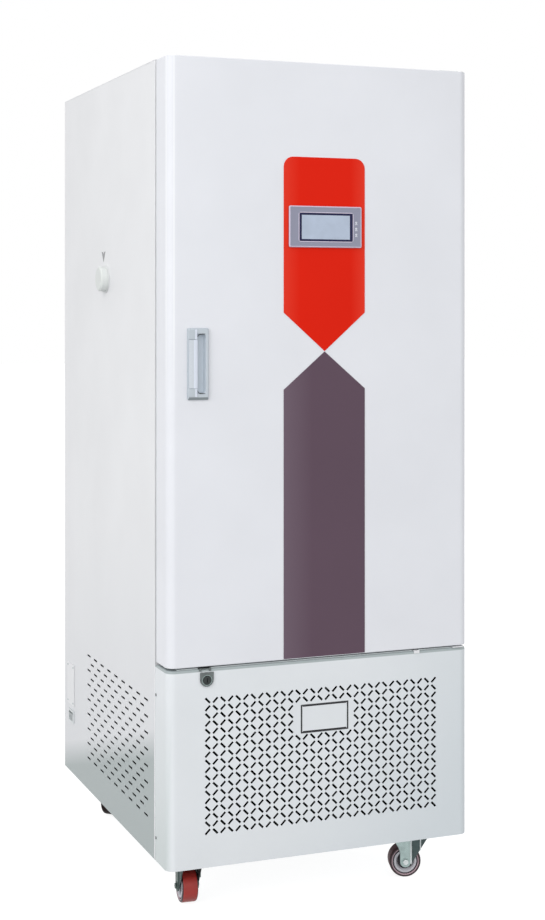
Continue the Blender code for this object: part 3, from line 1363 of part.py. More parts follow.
def make_door_handle(origin):
    """A moulded cup pull: a chamfered rim, a cup behind it and a grip bar over its left half."""
    across = HANDLE_WIDTH / 2
    up = HANDLE_HEIGHT / 2
    face = FRONT - SEAT - HANDLE_PROUD
    bm = box_mesh((HANDLE_X - across, face, HANDLE_Z - up),
                  (HANDLE_X + across, FRONT - SEAT, HANDLE_Z + up))
    front_edges = [e for e in bm.edges if all(v.co.y < face + SEAT for v in e.verts)]
    bmesh.ops.bevel(bm, geom=front_edges, offset=HANDLE_CHAMFER, segments=2, affect="EDGES")
    handle = add_object("door_handle", bm, SILVER_PLASTIC, origin)
    cup = box_mesh((HANDLE_X - across + HANDLE_RIM, face + HANDLE_PROUD / 2, HANDLE_Z - up + HANDLE_RIM),
                   (HANDLE_X + across - HANDLE_RIM, FRONT + HANDLE_CUP_DEPTH, HANDLE_Z + up - HANDLE_RIM))
    combine(handle, cup, "UNION", origin)
    wall = HANDLE_RIM + HANDLE_WALL
    left = HANDLE_X - across + wall
    right = HANDLE_X + across - HANDLE_RIM
    block = HANDLE_BLOCK
    hollow = box_mesh((left, face + HANDLE_BAR_DEPTH, HANDLE_Z - up + block),
                      (right - HANDLE_WALL, FRONT + HANDLE_CUP_DEPTH - HANDLE_WALL, HANDLE_Z + up - block))
    combine(handle, hollow, "DIFFERENCE", origin)
    mouth = box_mesh((HANDLE_X - across + HANDLE_BAR_WIDTH, face - CLOSE, HANDLE_Z - up + block),
                     (right - HANDLE_WALL, FRONT + HANDLE_CUP_DEPTH - HANDLE_WALL * 2,
                      HANDLE_Z + up - block))
    combine(handle, mouth, "DIFFERENCE", origin)


def make_films(origin):
    """The red panel with its pointed foot, and the dark stripe that runs down from the point."""
    y0 = FRONT - SEAT - FILM
    y1 = FRONT - SEAT
    outline = []
    steps = 5
    for side in (1, -1):
        arc = []
        for k in range(steps + 1):
            angle = math.pi / 2 * k / steps
            arc.append((PANEL_X + side * (RED_HALF_WIDTH - RED_RADIUS + RED_RADIUS * math.cos(angle)),
                        RED_TOP - RED_RADIUS + RED_RADIUS * math.sin(angle)))
        outline += arc if side > 0 else arc[::-1]
    outline += [(PANEL_X - RED_HALF_WIDTH, RED_SHOULDER), (PANEL_X, RED_TIP),
                (PANEL_X + RED_HALF_WIDTH, RED_SHOULDER)]
    add_object("red_panel", prism_mesh(outline, "y", y0, y1), RED_FILM, origin)
    foot = DOOR_BOTTOM + STRIPE_MARGIN
    outline = [(PANEL_X, RED_TIP - 2 * SEAT), (PANEL_X - RED_HALF_WIDTH, STRIPE_SHOULDER),
               (PANEL_X - RED_HALF_WIDTH, foot), (PANEL_X + RED_HALF_WIDTH, foot),
               (PANEL_X + RED_HALF_WIDTH, STRIPE_SHOULDER)]
    add_object("dark_stripe", prism_mesh(outline, "y", y0, y1), STRIPE_FILM, origin)


def make_control_panel(origin):
    """The display: a thin bezel on the red panel with a lens in its window."""
    back = FRONT - 2 * SEAT - FILM
    face = back - BEZEL_PROUD
    outline = rounded_rectangle(BEZEL_X, BEZEL_Z, BEZEL_WIDTH, BEZEL_HEIGHT, BEZEL_RADIUS)
    bezel = add_object("display_bezel", prism_mesh(outline, "y", face, back), SILVER_PLASTIC, origin)
    window = box_mesh((WINDOW_X - WINDOW_WIDTH / 2, face - CLOSE, WINDOW_Z - WINDOW_HEIGHT / 2),
                      (WINDOW_X + WINDOW_WIDTH / 2, back - SHEET, WINDOW_Z + WINDOW_HEIGHT / 2))
    combine(bezel, window, "DIFFERENCE", origin)
    across = WINDOW_WIDTH / 2 - SEAT
    up = WINDOW_HEIGHT / 2 - SEAT
    add_object("display_lens", box_mesh((WINDOW_X - across, face + LENS_INSET, WINDOW_Z - up),
                                        (WINDOW_X + across, back - SHEET - SEAT, WINDOW_Z + up)),
               LENS, origin)


def make_door():
    origin = Vector((PIN_X, PIN_Y, 0))
    pivot = add_pivot("door_pivot", origin)
    before = set(bpy.data.objects)
    make_door_shell(origin)
    make_door_liner(origin)
    make_door_foam(origin)
    make_door_gasket(origin)
    make_hinge_bushes(origin)
    make_door_handle(origin)
    make_films(origin)
    make_control_panel(origin)
    for piece in set(bpy.data.objects) - before:
        piece.parent = pivot
        piece.location = (0, 0, 0)


def fork_mesh():
    """One caster fork in its own frame: swivel axis on Z, wheel trailing towards +Y."""
    top = UNDERSIDE - CASTER_PLATE_SHEET - SEAT
    shelf = top - FORK_HEAD_HEIGHT
    leg_out = WHEEL_WIDTH / 2 + FORK_CLEARANCE + FORK_SHEET
    leg_in = WHEEL_WIDTH / 2 + FORK_CLEARANCE
    outline = [(-FORK_NOSE, shelf + FORK_SHEET), (-FORK_NOSE, shelf - FORK_SKIRT)]
    steps = 5
    for k in range(steps + 1):
        angle = math.radians(225) + math.radians(135) * k / steps
        outline.append((CASTER_TRAIL + FORK_EYE * math.cos(angle),
                        WHEEL_RADIUS + FORK_EYE * math.sin(angle)))
    outline.append((CASTER_TRAIL + FORK_EYE, shelf + FORK_SHEET))
    fork = add_object("fork_blank", prism_mesh(outline, "x", -leg_out, leg_out), ZINC)
    channel = box_mesh((-leg_in, -FORK_NOSE - CLOSE, 0), (leg_in, CASTER_TRAIL + WHEEL_RADIUS, shelf))
    combine(fork, channel)
    head = [(0, shelf + FORK_SHEET / 2), (FORK_HEAD_RADIUS * 0.8, shelf + FORK_SHEET / 2),
            (FORK_HEAD_RADIUS, shelf + FORK_HEAD_HEIGHT * 0.6), (FORK_HEAD_RADIUS, top), (0, top)]
    combine(fork, lathe_mesh(head, "z", (0, 0, 0), 16), "UNION")
    end = leg_out + AXLE_HEAD
    seat = leg_out - FORK_SHEET / 2
    bolt = [(0, -end), (AXLE_HEAD_RADIUS, -end), (AXLE_HEAD_RADIUS, -seat), (AXLE_RADIUS, -seat),
            (AXLE_RADIUS, seat), (AXLE_HEAD_RADIUS, seat), (AXLE_HEAD_RADIUS, end), (0, end)]
    combine(fork, lathe_mesh(bolt, "x", (0, CASTER_TRAIL, WHEEL_RADIUS), 8), "UNION")
    return applied_mesh(fork, "caster_fork")


def wheel_mesh():
    """One wheel about X: a polyurethane tread with round shoulders on a recessed hub."""
    half = WHEEL_WIDTH / 2
    web = half - WHEEL_DISH
    profile = [(WHEEL_RADIUS, half - WHEEL_SHOULDER), (WHEEL_RADIUS - WHEEL_SHOULDER, half),
               (WHEEL_HUB_RADIUS, half), (WHEEL_HUB_RADIUS - WHEEL_DISH / 2, web), (WHEEL_BOSS, web),
               (WHEEL_BORE, half)]
    profile += [(r, -x) for r, x in reversed(profile)]
    blank = add_object("wheel_blank", lathe_mesh(profile, "x", (0, 0, 0), 16), POLYURETHANE, smooth=True)
    return applied_mesh(blank, "caster_wheel")


def make_casters():
    fork = fork_mesh()
    wheel = wheel_mesh()
    for corner, (x, y) in CASTER_PLACES.items():
        pivot = add_pivot(f"caster_pivot_{corner}", (x, y, 0), math.radians(CASTER_TURNS[corner]))
        fork_piece = place_mesh(f"caster_fork_{corner}", fork, parent=pivot)
        place_mesh(f"caster_wheel_{corner}", wheel, (0, CASTER_TRAIL, WHEEL_RADIUS), fork_piece)


def main():
    clear_scene()
    make_side_panel("side_panel_left", -1)
    make_side_panel("side_panel_right", 1)
    make_top_panel()
    make_back_panel()
    make_base_tray()
    make_front_frame()
    make_inner_liner()
    make_insulation()
    make_machine_deck()
    make_air_duct()
    make_circulation_fan()
    make_evaporator()
    make_heater()
    make_shelf_rack("shelf_rack_left", -1)
    make_shelf_rack("shelf_rack_right", 1)
    for name, level in SHELF_LEVELS.items():
        make_shelf(f"wire_shelf_{name}", level)
    make_chamber_light()
    make_probe()
    make_port()
    make_side_fittings()
    make_power_inlet()
    make_compressor()
    make_condenser_set()
    make_control_box()
    make_lower_cover()
    make_lock()
    make_hinge_brackets()
    make_door_stop()
    make_door()
    make_casters()


main()
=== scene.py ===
import json
import math

import bmesh
import bpy
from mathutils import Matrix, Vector

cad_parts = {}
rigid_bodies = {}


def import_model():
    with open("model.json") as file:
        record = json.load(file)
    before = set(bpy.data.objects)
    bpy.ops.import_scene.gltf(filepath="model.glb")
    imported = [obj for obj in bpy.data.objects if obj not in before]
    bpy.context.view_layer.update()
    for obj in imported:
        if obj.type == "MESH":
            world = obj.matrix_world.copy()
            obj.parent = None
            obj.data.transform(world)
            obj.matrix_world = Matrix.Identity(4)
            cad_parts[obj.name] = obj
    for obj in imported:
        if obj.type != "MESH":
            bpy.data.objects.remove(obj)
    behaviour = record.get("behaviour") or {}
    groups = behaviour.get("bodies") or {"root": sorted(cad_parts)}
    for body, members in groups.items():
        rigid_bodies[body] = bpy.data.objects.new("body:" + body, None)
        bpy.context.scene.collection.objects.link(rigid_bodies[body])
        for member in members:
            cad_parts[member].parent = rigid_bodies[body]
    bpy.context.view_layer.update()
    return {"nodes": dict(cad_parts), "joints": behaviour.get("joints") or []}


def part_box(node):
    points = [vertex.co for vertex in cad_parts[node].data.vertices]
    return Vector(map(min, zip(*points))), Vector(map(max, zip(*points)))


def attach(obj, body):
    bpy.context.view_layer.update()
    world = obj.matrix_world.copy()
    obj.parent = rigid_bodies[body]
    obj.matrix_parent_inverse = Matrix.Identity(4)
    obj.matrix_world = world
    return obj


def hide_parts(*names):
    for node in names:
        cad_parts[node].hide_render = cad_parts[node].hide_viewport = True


for leftover in list(bpy.data.objects):
    bpy.data.objects.remove(leftover)
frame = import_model()
NODES = frame["nodes"]
JOINTS = {joint["name"]: joint for joint in frame["joints"]}

SHARP_ANGLE = math.radians(32)
UP = Vector((0, 0, 1))
# The clearance between two pieces that seat on each other, and the thickness of a printed mark
GAP = 0.0003
INK = 0.0002


# Node building


def linear(red, green, blue):
    """Turns a colour as it looks on screen, 0 to 255, into Blender's linear values."""
    values = []
    for channel in (red, green, blue):
        share = channel / 255
        values.append(share / 12.92 if share < 0.04045 else ((share + 0.055) / 1.055) ** 2.4)
    return (*values, 1.0)


def scaled(colour, factor):
    return tuple(min(1.0, channel * factor) for channel in colour[:3]) + (1.0,)


def add_node(tree, kind, inputs=None, **settings):
    """Adds a shader node; each of its inputs is a value or another node's socket."""
    node = tree.nodes.new(kind)
    for key, value in settings.items():
        setattr(node, key, value)
    for key, value in (inputs or {}).items():
        if isinstance(value, bpy.types.NodeSocket):
            tree.links.new(value, node.inputs[key])
        else:
            node.inputs[key].default_value = value
    return node


def coordinates(tree, stretch=(1, 1, 1)):
    """A point's coordinates in its piece, which move with the piece, stretched by axis."""
    place = add_node(tree, "ShaderNodeTexCoord")
    mapping = add_node(tree, "ShaderNodeMapping", {"Vector": place.outputs["Object"], "Scale": stretch})
    return mapping.outputs["Vector"]


def noise(tree, vector, scale, detail=2.0):
    return add_node(tree, "ShaderNodeTexNoise", {
        "Vector": vector, "Scale": scale, "Detail": detail, "Roughness": 0.5,
    }).outputs["Fac"]


def mapped(tree, value, low, high, start=0.3, end=0.7):
    """Maps the range from start to end onto the range from low to high."""
    return add_node(tree, "ShaderNodeMapRange", {
        "Value": value, "From Min": start, "From Max": end, "To Min": low, "To Max": high,
    }).outputs["Result"]


def blended(tree, factor, first, second):
    """A colour between two colours; each is a value or a socket."""
    mix = add_node(tree, "ShaderNodeMix", data_type="RGBA")
    tree.links.new(factor, mix.inputs["Factor"])
    for letter, value in (("A", first), ("B", second)):
        target = [entry for entry in mix.inputs if entry.name == letter and entry.type == "RGBA"][0]
        if isinstance(value, bpy.types.NodeSocket):
            tree.links.new(value, target)
        else:
            target.default_value = value
    return [entry for entry in mix.outputs if entry.type == "RGBA"][0]


# Materials


def zone_mask(tree, limits):
    """A value that is 0 where a point lies under every limit and 1 elsewhere.

    A limit is a direction and the range of the distance along it over which the mask rises.
    """
    place = add_node(tree, "ShaderNodeTexCoord").outputs["Object"]
    mask = None
    for direction, low, high in limits:
        along = add_node(tree, "ShaderNodeVectorMath", {0: place, 1: direction},
                         operation="DOT_PRODUCT").outputs["Value"]
        step = mapped(tree, along, 0.0, 1.0, low, high)
        if mask:
            step = add_node(tree, "ShaderNodeMath", {0: mask, 1: step}, operation="MAXIMUM").outputs[0]
        mask = step
    return mask


def surface(name, colour, *, roughness, grain, spread=0.02, patch=6.0, rough_spread=0.05, metallic=0.0,
            grain_height=0.00002, stretch=(1, 1, 1), coat=0.0, specular=0.5, zones=()):
    """A surface whose colour drifts over patches and whose grain is cut into its bump.

    Each zone is a colour and the limits of the region that has it.
    """
    material = bpy.data.materials.new(name)
    material.use_nodes = True
    tree = material.node_tree
    shader = tree.nodes["Principled BSDF"]
    shader.inputs["Metallic"].default_value = metallic
    shader.inputs["Coat Weight"].default_value = coat
    shader.inputs["Coat Roughness"].default_value = 0.1
    shader.inputs["Specular IOR Level"].default_value = specular
    drift = mapped(tree, noise(tree, coordinates(tree), patch, 3.0), 0.0, 1.0)
    tint = blended(tree, drift, scaled(colour, 1 - spread), scaled(colour, 1 + spread))
    for zone_colour, limits in zones:
        tint = blended(tree, zone_mask(tree, limits), zone_colour, tint)
    tree.links.new(tint, shader.inputs["Base Color"])
    fine = noise(tree, coordinates(tree, stretch), grain)
    tree.links.new(mapped(tree, fine, roughness - rough_spread, roughness + rough_spread),
                   shader.inputs["Roughness"])
    bump = add_node(tree, "ShaderNodeBump", {"Height": fine, "Strength": 1.0, "Distance": grain_height})
    tree.links.new(bump.outputs["Normal"], shader.inputs["Normal"])
    return material


RIGHT, LEFT = (1, 0, 0), (-1, 0, 0)
FRONT = (0, -1, 0)
UPWARD, DOWNWARD = (0, 0, 1), (0, 0, -1)
UP_LEFT = (-1, 0, 0.6)


def up_to(direction, place, fade=0.001):
    """A limit at a place along a direction, with a fade past it."""
    return (direction, place, place + fade)


def painted_highlight_line(fade_in, start, end, fade_out):
    """The limits of an upright painted highlight line on the door, from places in x; it fades away
    below.
    """
    foot_fade = (DOWNWARD, -1.150, -0.980)
    return [(RIGHT, end, fade_out), (LEFT, -start, -fade_in), foot_fade]


def under_skin(outward, skin):
    """The limit of what lies under a sheet's outer surface, such as the cut edges of its slots, which
    get painted shade.
    """
    deep, shallow = 0.0008, 0.0004
    return (outward, skin - deep, skin - shallow)


SIDE_LOW, SIDE_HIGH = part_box("side_panel_left")
COVER_LOW, COVER_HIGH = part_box("lower_front_panel")
SIDE_GRILLE_TOP, SIDE_GRILLE_FRONT = 0.429, -0.279
COVER_GRILLE_TOP, COVER_GRILLE_HALF = 0.464, 0.289
# Where the painted reflection of the pale floor ends on the left wall, a line that falls towards the
# back
SHADE_LINE = (0, 0.281, 1)

WHITE_PAINT = surface("powder_coat_white", linear(231, 231, 233), roughness=0.42, grain=700,
                      grain_height=0.00003)
# Painted highlight: two light lines on the door's left round edge
DOOR_PAINTED_HIGHLIGHT = linear(239, 240, 242)
DOOR_PAINT = surface("powder_coat_door", linear(228, 229, 234), roughness=0.38, grain=600,
                     grain_height=0.00003, zones=[
    (DOOR_PAINTED_HIGHLIGHT, painted_highlight_line(-0.3194, -0.3191, -0.3186, -0.3182)),
    (DOOR_PAINTED_HIGHLIGHT, painted_highlight_line(-0.3080, -0.3072, -0.3060, -0.3052)),
])
# Painted shade on the left wall: darker towards the floor, darkest below the shade line as a painted
# reflection and shade of the floor
SIDE_PAINTED_SHADE = linear(220, 221, 224)
FLOOR_SHADE = linear(162, 171, 171)
# Painted shade: the slots' cut edges are near black, as the shade of the compartment behind
SLOT_PAINTED_SHADE = linear(6, 7, 7)
SIDE_PAINT = surface("powder_coat_side", linear(231, 231, 233), roughness=0.42, grain=700,
                     grain_height=0.00003, zones=[
    (SIDE_PAINTED_SHADE, [(SHADE_LINE, 0.280, 0.720)]),
    (FLOOR_SHADE, [(SHADE_LINE, 0.208, 0.266)]),
    (SLOT_PAINTED_SHADE, [under_skin(LEFT, -SIDE_LOW.x), up_to(UPWARD, SIDE_GRILLE_TOP),
                up_to(FRONT, -SIDE_GRILLE_FRONT)]),
])
# Painted shade on the cover: darker towards its lower right corner, on its left flank towards the floor,
# and on its top 4 mm under the door
COVER_PAINTED_SHADE = linear(213, 219, 223)
COVER_SHADE = linear(205, 212, 212)
SEAM_SHADE = linear(164, 173, 174)
COVER_PAINT = surface("powder_coat_cover", linear(226, 229, 232), roughness=0.42, grain=700,
                      grain_height=0.00003, zones=[
    (COVER_PAINTED_SHADE, [(UP_LEFT, -0.180, 0.200)]),
    (COVER_SHADE, [(UPWARD, 0.120, 0.420), up_to(RIGHT, COVER_LOW.x, 0.010)]),
    (SEAM_SHADE, [up_to(DOWNWARD, 0.0042 - COVER_HIGH.z, 0.0014)]),
    (SLOT_PAINTED_SHADE, [under_skin(FRONT, -COVER_LOW.y), up_to(UPWARD, COVER_GRILLE_TOP),
                up_to(RIGHT, COVER_GRILLE_HALF), up_to(LEFT, COVER_GRILLE_HALF)]),
])
STAINLESS = surface("brushed_stainless", linear(196, 198, 200), metallic=1.0, roughness=0.3,
                    rough_spread=0.08, grain=40, stretch=(1, 1, 60))
GALVANISED = surface("galvanised_sheet", linear(176, 182, 186), metallic=0.9, roughness=0.42,
                     rough_spread=0.12, spread=0.12, patch=60, grain=120, grain_height=0.00003)
ZINC = surface("bright_zinc_plate", linear(157, 174, 172), metallic=0.85, roughness=0.34,
               rough_spread=0.1, spread=0.12, patch=90, grain=500, grain_height=0.00003)
# Painted highlight: a white stand-in for the shine on the forks' folds and the bolt ends
PAINTED_HIGHLIGHT_ZINC = surface("zinc_edge_painted_highlight", linear(240, 246, 246), roughness=0.3, grain=500)
# Painted shade: zinc darkened for the front left fork, which stands in the cabinet's shadow
SHADED_ZINC = surface("zinc_painted_shade", linear(84, 98, 94), metallic=0.7, roughness=0.4,
                      rough_spread=0.1, spread=0.2, patch=120, grain=500, grain_height=0.00003)
DARK_ZINC = surface("zinc_in_shadow", linear(70, 84, 84), metallic=0.6, roughness=0.45,
                    rough_spread=0.1, spread=0.15, patch=90, grain=500, grain_height=0.00003)
ALUMINIUM = surface("aluminium_fins", linear(200, 203, 206), metallic=1.0, roughness=0.35, grain=300)
BLACK_ENAMEL = surface("black_enamel", linear(28, 28, 30), roughness=0.35, coat=0.3, grain=300,
                       spread=0.1, patch=30)
PAINTED_SHADE_FILTER = surface("near_black_filter_painted_shade", linear(10, 10, 11), roughness=0.9, specular=0.05, grain=2400,
                     grain_height=0.0002, spread=0.1, patch=60)
LOCK_METAL = surface("lock_chrome", linear(104, 110, 110), metallic=0.9, roughness=0.25, grain=400,
                     rough_spread=0.08, spread=0.15, patch=150)
HANDLE_SHADE = surface("handle_lower_chamfer_painted_shade", linear(138, 146, 150), roughness=0.4, grain=1400)
HANDLE_SILVER = surface("handle_silver_paint", linear(188, 196, 203), metallic=0.2, roughness=0.34,
                        grain=1400, coat=0.1)
GRIP_SILVER = surface("handle_grip_paint", linear(200, 206, 213), metallic=0.1, roughness=0.3,
                      grain=1400, coat=0.1)
GRIP_PAINTED_HIGHLIGHT = surface("handle_grip_painted_highlight", linear(222, 228, 240), roughness=0.3, grain=1400,
                     coat=0.1)
GRIP_SHADE = surface("handle_grip_edge_painted_shade", linear(104, 116, 146), roughness=0.4, grain=1400)
POCKET = surface("handle_pocket_painted_light", linear(204, 213, 222), roughness=0.4, grain=1400)
BEZEL_GREY = surface("bezel_moulded_grey", linear(143, 144, 162), roughness=0.42, grain=1800,
                     grain_height=0.00003, specular=0.4)
BEZEL_PAINTED_HIGHLIGHT = surface("bezel_edge_painted_highlight", linear(206, 197, 216), roughness=0.42, grain=1800)
DARK_PLASTIC = surface("dark_moulded_plastic", linear(38, 38, 42), roughness=0.42, grain=1500,
                       grain_height=0.00004)
RED_LOW, RED_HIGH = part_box("red_panel")
RED_EDGE = linear(226, 56, 38)
RED_FILM = surface("red_film", linear(221, 32, 10), roughness=0.42, spread=0.03, patch=2.5,
                   grain=1100, grain_height=0.00001, specular=0.1, zones=[
    (RED_EDGE, [up_to(RIGHT, RED_LOW.x, 0.034)]),
    (RED_EDGE, [up_to(LEFT, -RED_HIGH.x, 0.030)]),
])
STRIPE_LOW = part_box("dark_stripe")[0]
STRIPE_EDGE = linear(104, 87, 100)
STRIPE_FILM = surface("stripe_film", linear(88, 68, 82), roughness=0.4, spread=0.03, patch=3.0,
                      grain=1100, grain_height=0.00001, specular=0.3, zones=[
    (STRIPE_EDGE, [up_to(RIGHT, STRIPE_LOW.x, 0.060)]),
])
SILICONE = surface("port_silicone", linear(222, 225, 223), roughness=0.55, grain=900, specular=0.3)
LINER_PLASTIC = surface("liner_plastic", linear(226, 228, 228), roughness=0.42, grain=900)
GASKET = surface("gasket_vinyl", linear(176, 178, 182), roughness=0.55, grain=1200)
FOAM = surface("insulation_foam", linear(214, 196, 150), roughness=0.9, spread=0.08, patch=40,
               grain=260, grain_height=0.0004)
TREAD = surface("polyurethane_tread", linear(168, 50, 44), roughness=0.4, spread=0.12, patch=50,
                grain=800, grain_height=0.00005, rough_spread=0.1)
SHADED_TREAD = surface("polyurethane_half_shade", linear(76, 28, 34), roughness=0.5, spread=0.12,
                       patch=50, grain=800, grain_height=0.00005, rough_spread=0.1, specular=0.25)
DARK_TREAD = surface("polyurethane_in_shadow", linear(34, 22, 21), roughness=0.6, spread=0.1, patch=40,
                     grain=800, grain_height=0.00005, specular=0.1)
TREAD_EDGE = surface("polyurethane_edge", linear(42, 18, 24), roughness=0.42, spread=0.1, patch=50,
                     grain=900)
TREAD_FLANK = surface("polyurethane_flank", linear(186, 160, 168), roughness=0.42, spread=0.08,
                      patch=50, grain=900)
HUB = surface("wheel_hub_plastic", linear(204, 202, 208), roughness=0.38, grain=1200)
HUB_GROOVE = surface("wheel_hub_groove", linear(66, 64, 70), roughness=0.5, grain=1200)
NYLON = surface("nylon", linear(222, 222, 216), roughness=0.45, grain=1200)
DIFFUSER = surface("light_diffuser", linear(238, 238, 230), roughness=0.5, grain=900)
SCREEN_RING = surface("screen_surround", linear(36, 36, 70), roughness=0.4, grain=900, spread=0.05,
                      specular=0.2)
SCREEN = surface("screen_panel", linear(176, 188, 207), roughness=0.22, rough_spread=0.02, spread=0.06,
                 patch=34, grain=2600, grain_height=0.000002, coat=0.3)
SWITCH_GREY = surface("switch_pale_plastic", linear(214, 218, 219), roughness=0.4, grain=1500)
ROCKER_GREY = surface("rocker_plastic", linear(150, 156, 158), roughness=0.4, grain=1500)
LOCK_DARK = surface("lock_dark_chrome", linear(58, 62, 62), metallic=0.8, roughness=0.35, grain=400,
                    spread=0.2, patch=200)
SEAM_FLANGE_PAINTED_SHADE = surface("seam_flange_painted_shade", linear(208, 214, 215), roughness=0.5, grain=700)
MARKS = surface("printed_marks", linear(232, 233, 239), roughness=0.45, grain=1500)
GREY_MARK = surface("printed_grey", linear(150, 150, 152), roughness=0.5, grain=1500)

SLOT_MATERIALS = {
    "door_paint": DOOR_PAINT, "white_paint": WHITE_PAINT, "polyurethane": TREAD, "zinc": ZINC,
    "silver_plastic": HANDLE_SILVER, "red_film": RED_FILM, "stripe_film": STRIPE_FILM,
    "lens": SCREEN_RING, "silicone": SILICONE, "lock_metal": LOCK_METAL, "dark_plastic": DARK_PLASTIC,
    "stainless": STAINLESS, "galvanised": GALVANISED, "gasket": GASKET, "aluminium": ALUMINIUM,
    "black_steel": BLACK_ENAMEL, "foam": FOAM, "liner_plastic": LINER_PLASTIC, "nylon": NYLON,
    "diffuser": DIFFUSER,
}
NODE_MATERIALS = {
    "lower_front_panel": COVER_PAINT, "side_panel_left": SIDE_PAINT, "door_stop_tab": WHITE_PAINT,
    "switch_housing": SWITCH_GREY, "rocker_switch": ROCKER_GREY, "lock_cylinder": LOCK_DARK,
}


# CAD nodes: welded, smooth where round, with softened sheet edges


def smooth_node(node, soft_edge=None, width=0.0):
    """Welds a CAD node's triangles and shades its round faces smooth and its flat faces flat.

    soft_edge tells, from an edge's middle point, which of the sharp edges get a small rounding.
    """
    mesh = node.data
    square_corner = math.radians(60)
    if "custom_normal" in mesh.attributes:
        mesh.attributes.remove(mesh.attributes["custom_normal"])
    corners = [tuple(round(value, 6) for value in vertex.co) for vertex in mesh.vertices]
    normals = {}
    for polygon in mesh.polygons:
        for start, end in polygon.edge_keys:
            ends = frozenset((corners[start], corners[end]))
            normals.setdefault(ends, []).append(polygon.normal.copy())
        polygon.use_smooth = True
    weights = None
    if soft_edge:
        weights = mesh.attributes.new("bevel_weight_edge", "FLOAT", "EDGE")
    for edge in mesh.edges:
        first, second = edge.vertices
        sides = normals.get(frozenset((corners[first], corners[second])), [])
        angle = sides[0].angle(sides[1], 0) if len(sides) == 2 else math.pi
        edge.use_edge_sharp = angle > SHARP_ANGLE
        middle = (mesh.vertices[first].co + mesh.vertices[second].co) / 2
        if soft_edge and angle > square_corner and soft_edge(middle):
            weights.data[edge.index].value = 1.0
            edge.use_edge_sharp = False
    weld = node.modifiers.new("weld", "WELD")
    weld.merge_threshold = 0.000002
    if soft_edge:
        bevel = node.modifiers.new("soft_edge", "BEVEL")
        bevel.limit_method = "WEIGHT"
        bevel.width = width
        bevel.segments = 3
        bevel.use_clamp_overlap = False
    weighted = node.modifiers.new("weighted", "WEIGHTED_NORMAL")
    weighted.keep_sharp = True


def on_door_outline(point, low, high):
    """Whether a point is on the door's outline as seen from above, with its round corners."""
    radius, slack = 0.018, 0.0004
    across = abs(point.x) - (high.x - radius)
    ahead = (low.y + radius) - point.y
    if across > 0 and ahead > 0:
        return math.hypot(across, ahead) > radius - slack
    return max(across, ahead) > radius - slack


def dress_nodes():
    """Gives each CAD node its finish and softens the edges of the door and the side walls."""
    door_low, door_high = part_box("door_shell")
    wall = abs(SIDE_LOW.x)
    flush = 0.0001

    def door_edge(point):
        level = min(abs(point.z - door_low.z), abs(point.z - door_high.z))
        return level < flush and on_door_outline(point, door_low, door_high)

    def side_edge(point):
        return abs(abs(point.x) - wall) < flush and abs(point.y - SIDE_LOW.y) < flush

    soft = {"door_shell": (door_edge, 0.0020), "side_panel_left": (side_edge, 0.0012),
            "side_panel_right": (side_edge, 0.0012)}
    for name, node in NODES.items():
        slot = node.material_slots[0]
        slot.material = NODE_MATERIALS.get(name, SLOT_MATERIALS[slot.material.name])
        smooth_node(node, *soft.get(name, ()))


# Mesh building


def add_loft(bm, loops):
    """Joins closed loops with the same number of points into one solid with capped ends."""
    rings = [[bm.verts.new(point) for point in loop] for loop in loops]
    for low, high in zip(rings, rings[1:]):
        for i, start in enumerate(low):
            j = (i + 1) % len(low)
            bm.faces.new((start, low[j], high[j], high[i]))
    bm.faces.new(rings[0])
    bm.faces.new(list(reversed(rings[-1])))


def join_rings(bm, rings):
    """Skins closed rings of vertices in a circle, the last one to the first."""
    for first, second in zip(rings, rings[1:] + rings[:1]):
        for i, start in enumerate(first):
            j = (i + 1) % len(first)
            bm.faces.new((start, first[j], second[j], second[i]))


def door_loop(low_x, high_x, low_z, high_z, radius, y, steps=5):
    """A rounded rectangle that faces the front, at the given depth."""
    loop = []
    corners = ((high_x - radius, high_z - radius, 0), (low_x + radius, high_z - radius, 1),
               (low_x + radius, low_z + radius, 2), (high_x - radius, low_z + radius, 3))
    for x, z, quarter in corners:
        for k in range(steps + 1):
            angle = math.pi / 2 * (quarter + k / steps)
            loop.append(Vector((x + radius * math.cos(angle), y, z + radius * math.sin(angle))))
    return loop


def add_prism(bm, outline, shift):
    """A solid between a closed outline and the same outline moved by the shift."""
    add_loft(bm, [outline, [point + shift for point in outline]])


def add_box(bm, low, high):
    loop = [Vector((low[0], low[1], low[2])), Vector((high[0], low[1], low[2])),
            Vector((high[0], high[1], low[2])), Vector((low[0], high[1], low[2]))]
    add_prism(bm, loop, Vector((0, 0, high[2] - low[2])))


def add_lathe(bm, profile, centre, axis, segments):
    """Turns (radius, distance along the axis) points; a profile with no pole is a closed ring."""
    axis = Vector(axis).normalized()
    across = axis.orthogonal().normalized()
    upward = axis.cross(across)
    rings = []
    for radius, along in profile:
        middle = Vector(centre) + axis * along
        if radius == 0:
            rings.append([bm.verts.new(middle)])
            continue
        ring = []
        for k in range(segments):
            angle = 2 * math.pi * k / segments
            out = math.cos(angle) * across + math.sin(angle) * upward
            ring.append(bm.verts.new(middle + radius * out))
        rings.append(ring)
    pairs = list(zip(rings, rings[1:]))
    if profile[0][0] != 0:
        pairs.append((rings[-1], rings[0]))
    for low, high in pairs:
        for k in range(segments):
            n = (k + 1) % segments
            corners = [low[k % len(low)], low[n % len(low)], high[n % len(high)], high[k % len(high)]]
            bm.faces.new(list(dict.fromkeys(corners)))


def add_rod(bm, start, end, radius, segments=10):
    """A straight round wire."""
    start = Vector(start)
    length = (Vector(end) - start).length
    add_lathe(bm, [(0, 0), (radius, 0), (radius, length), (0, length)], start, Vector(end) - start,
              segments)


def turn_outward(bm):
    """Turns the faces outward, so that their normals can be asked for."""
    bm.normal_update()
    bmesh.ops.recalc_face_normals(bm, faces=bm.faces)


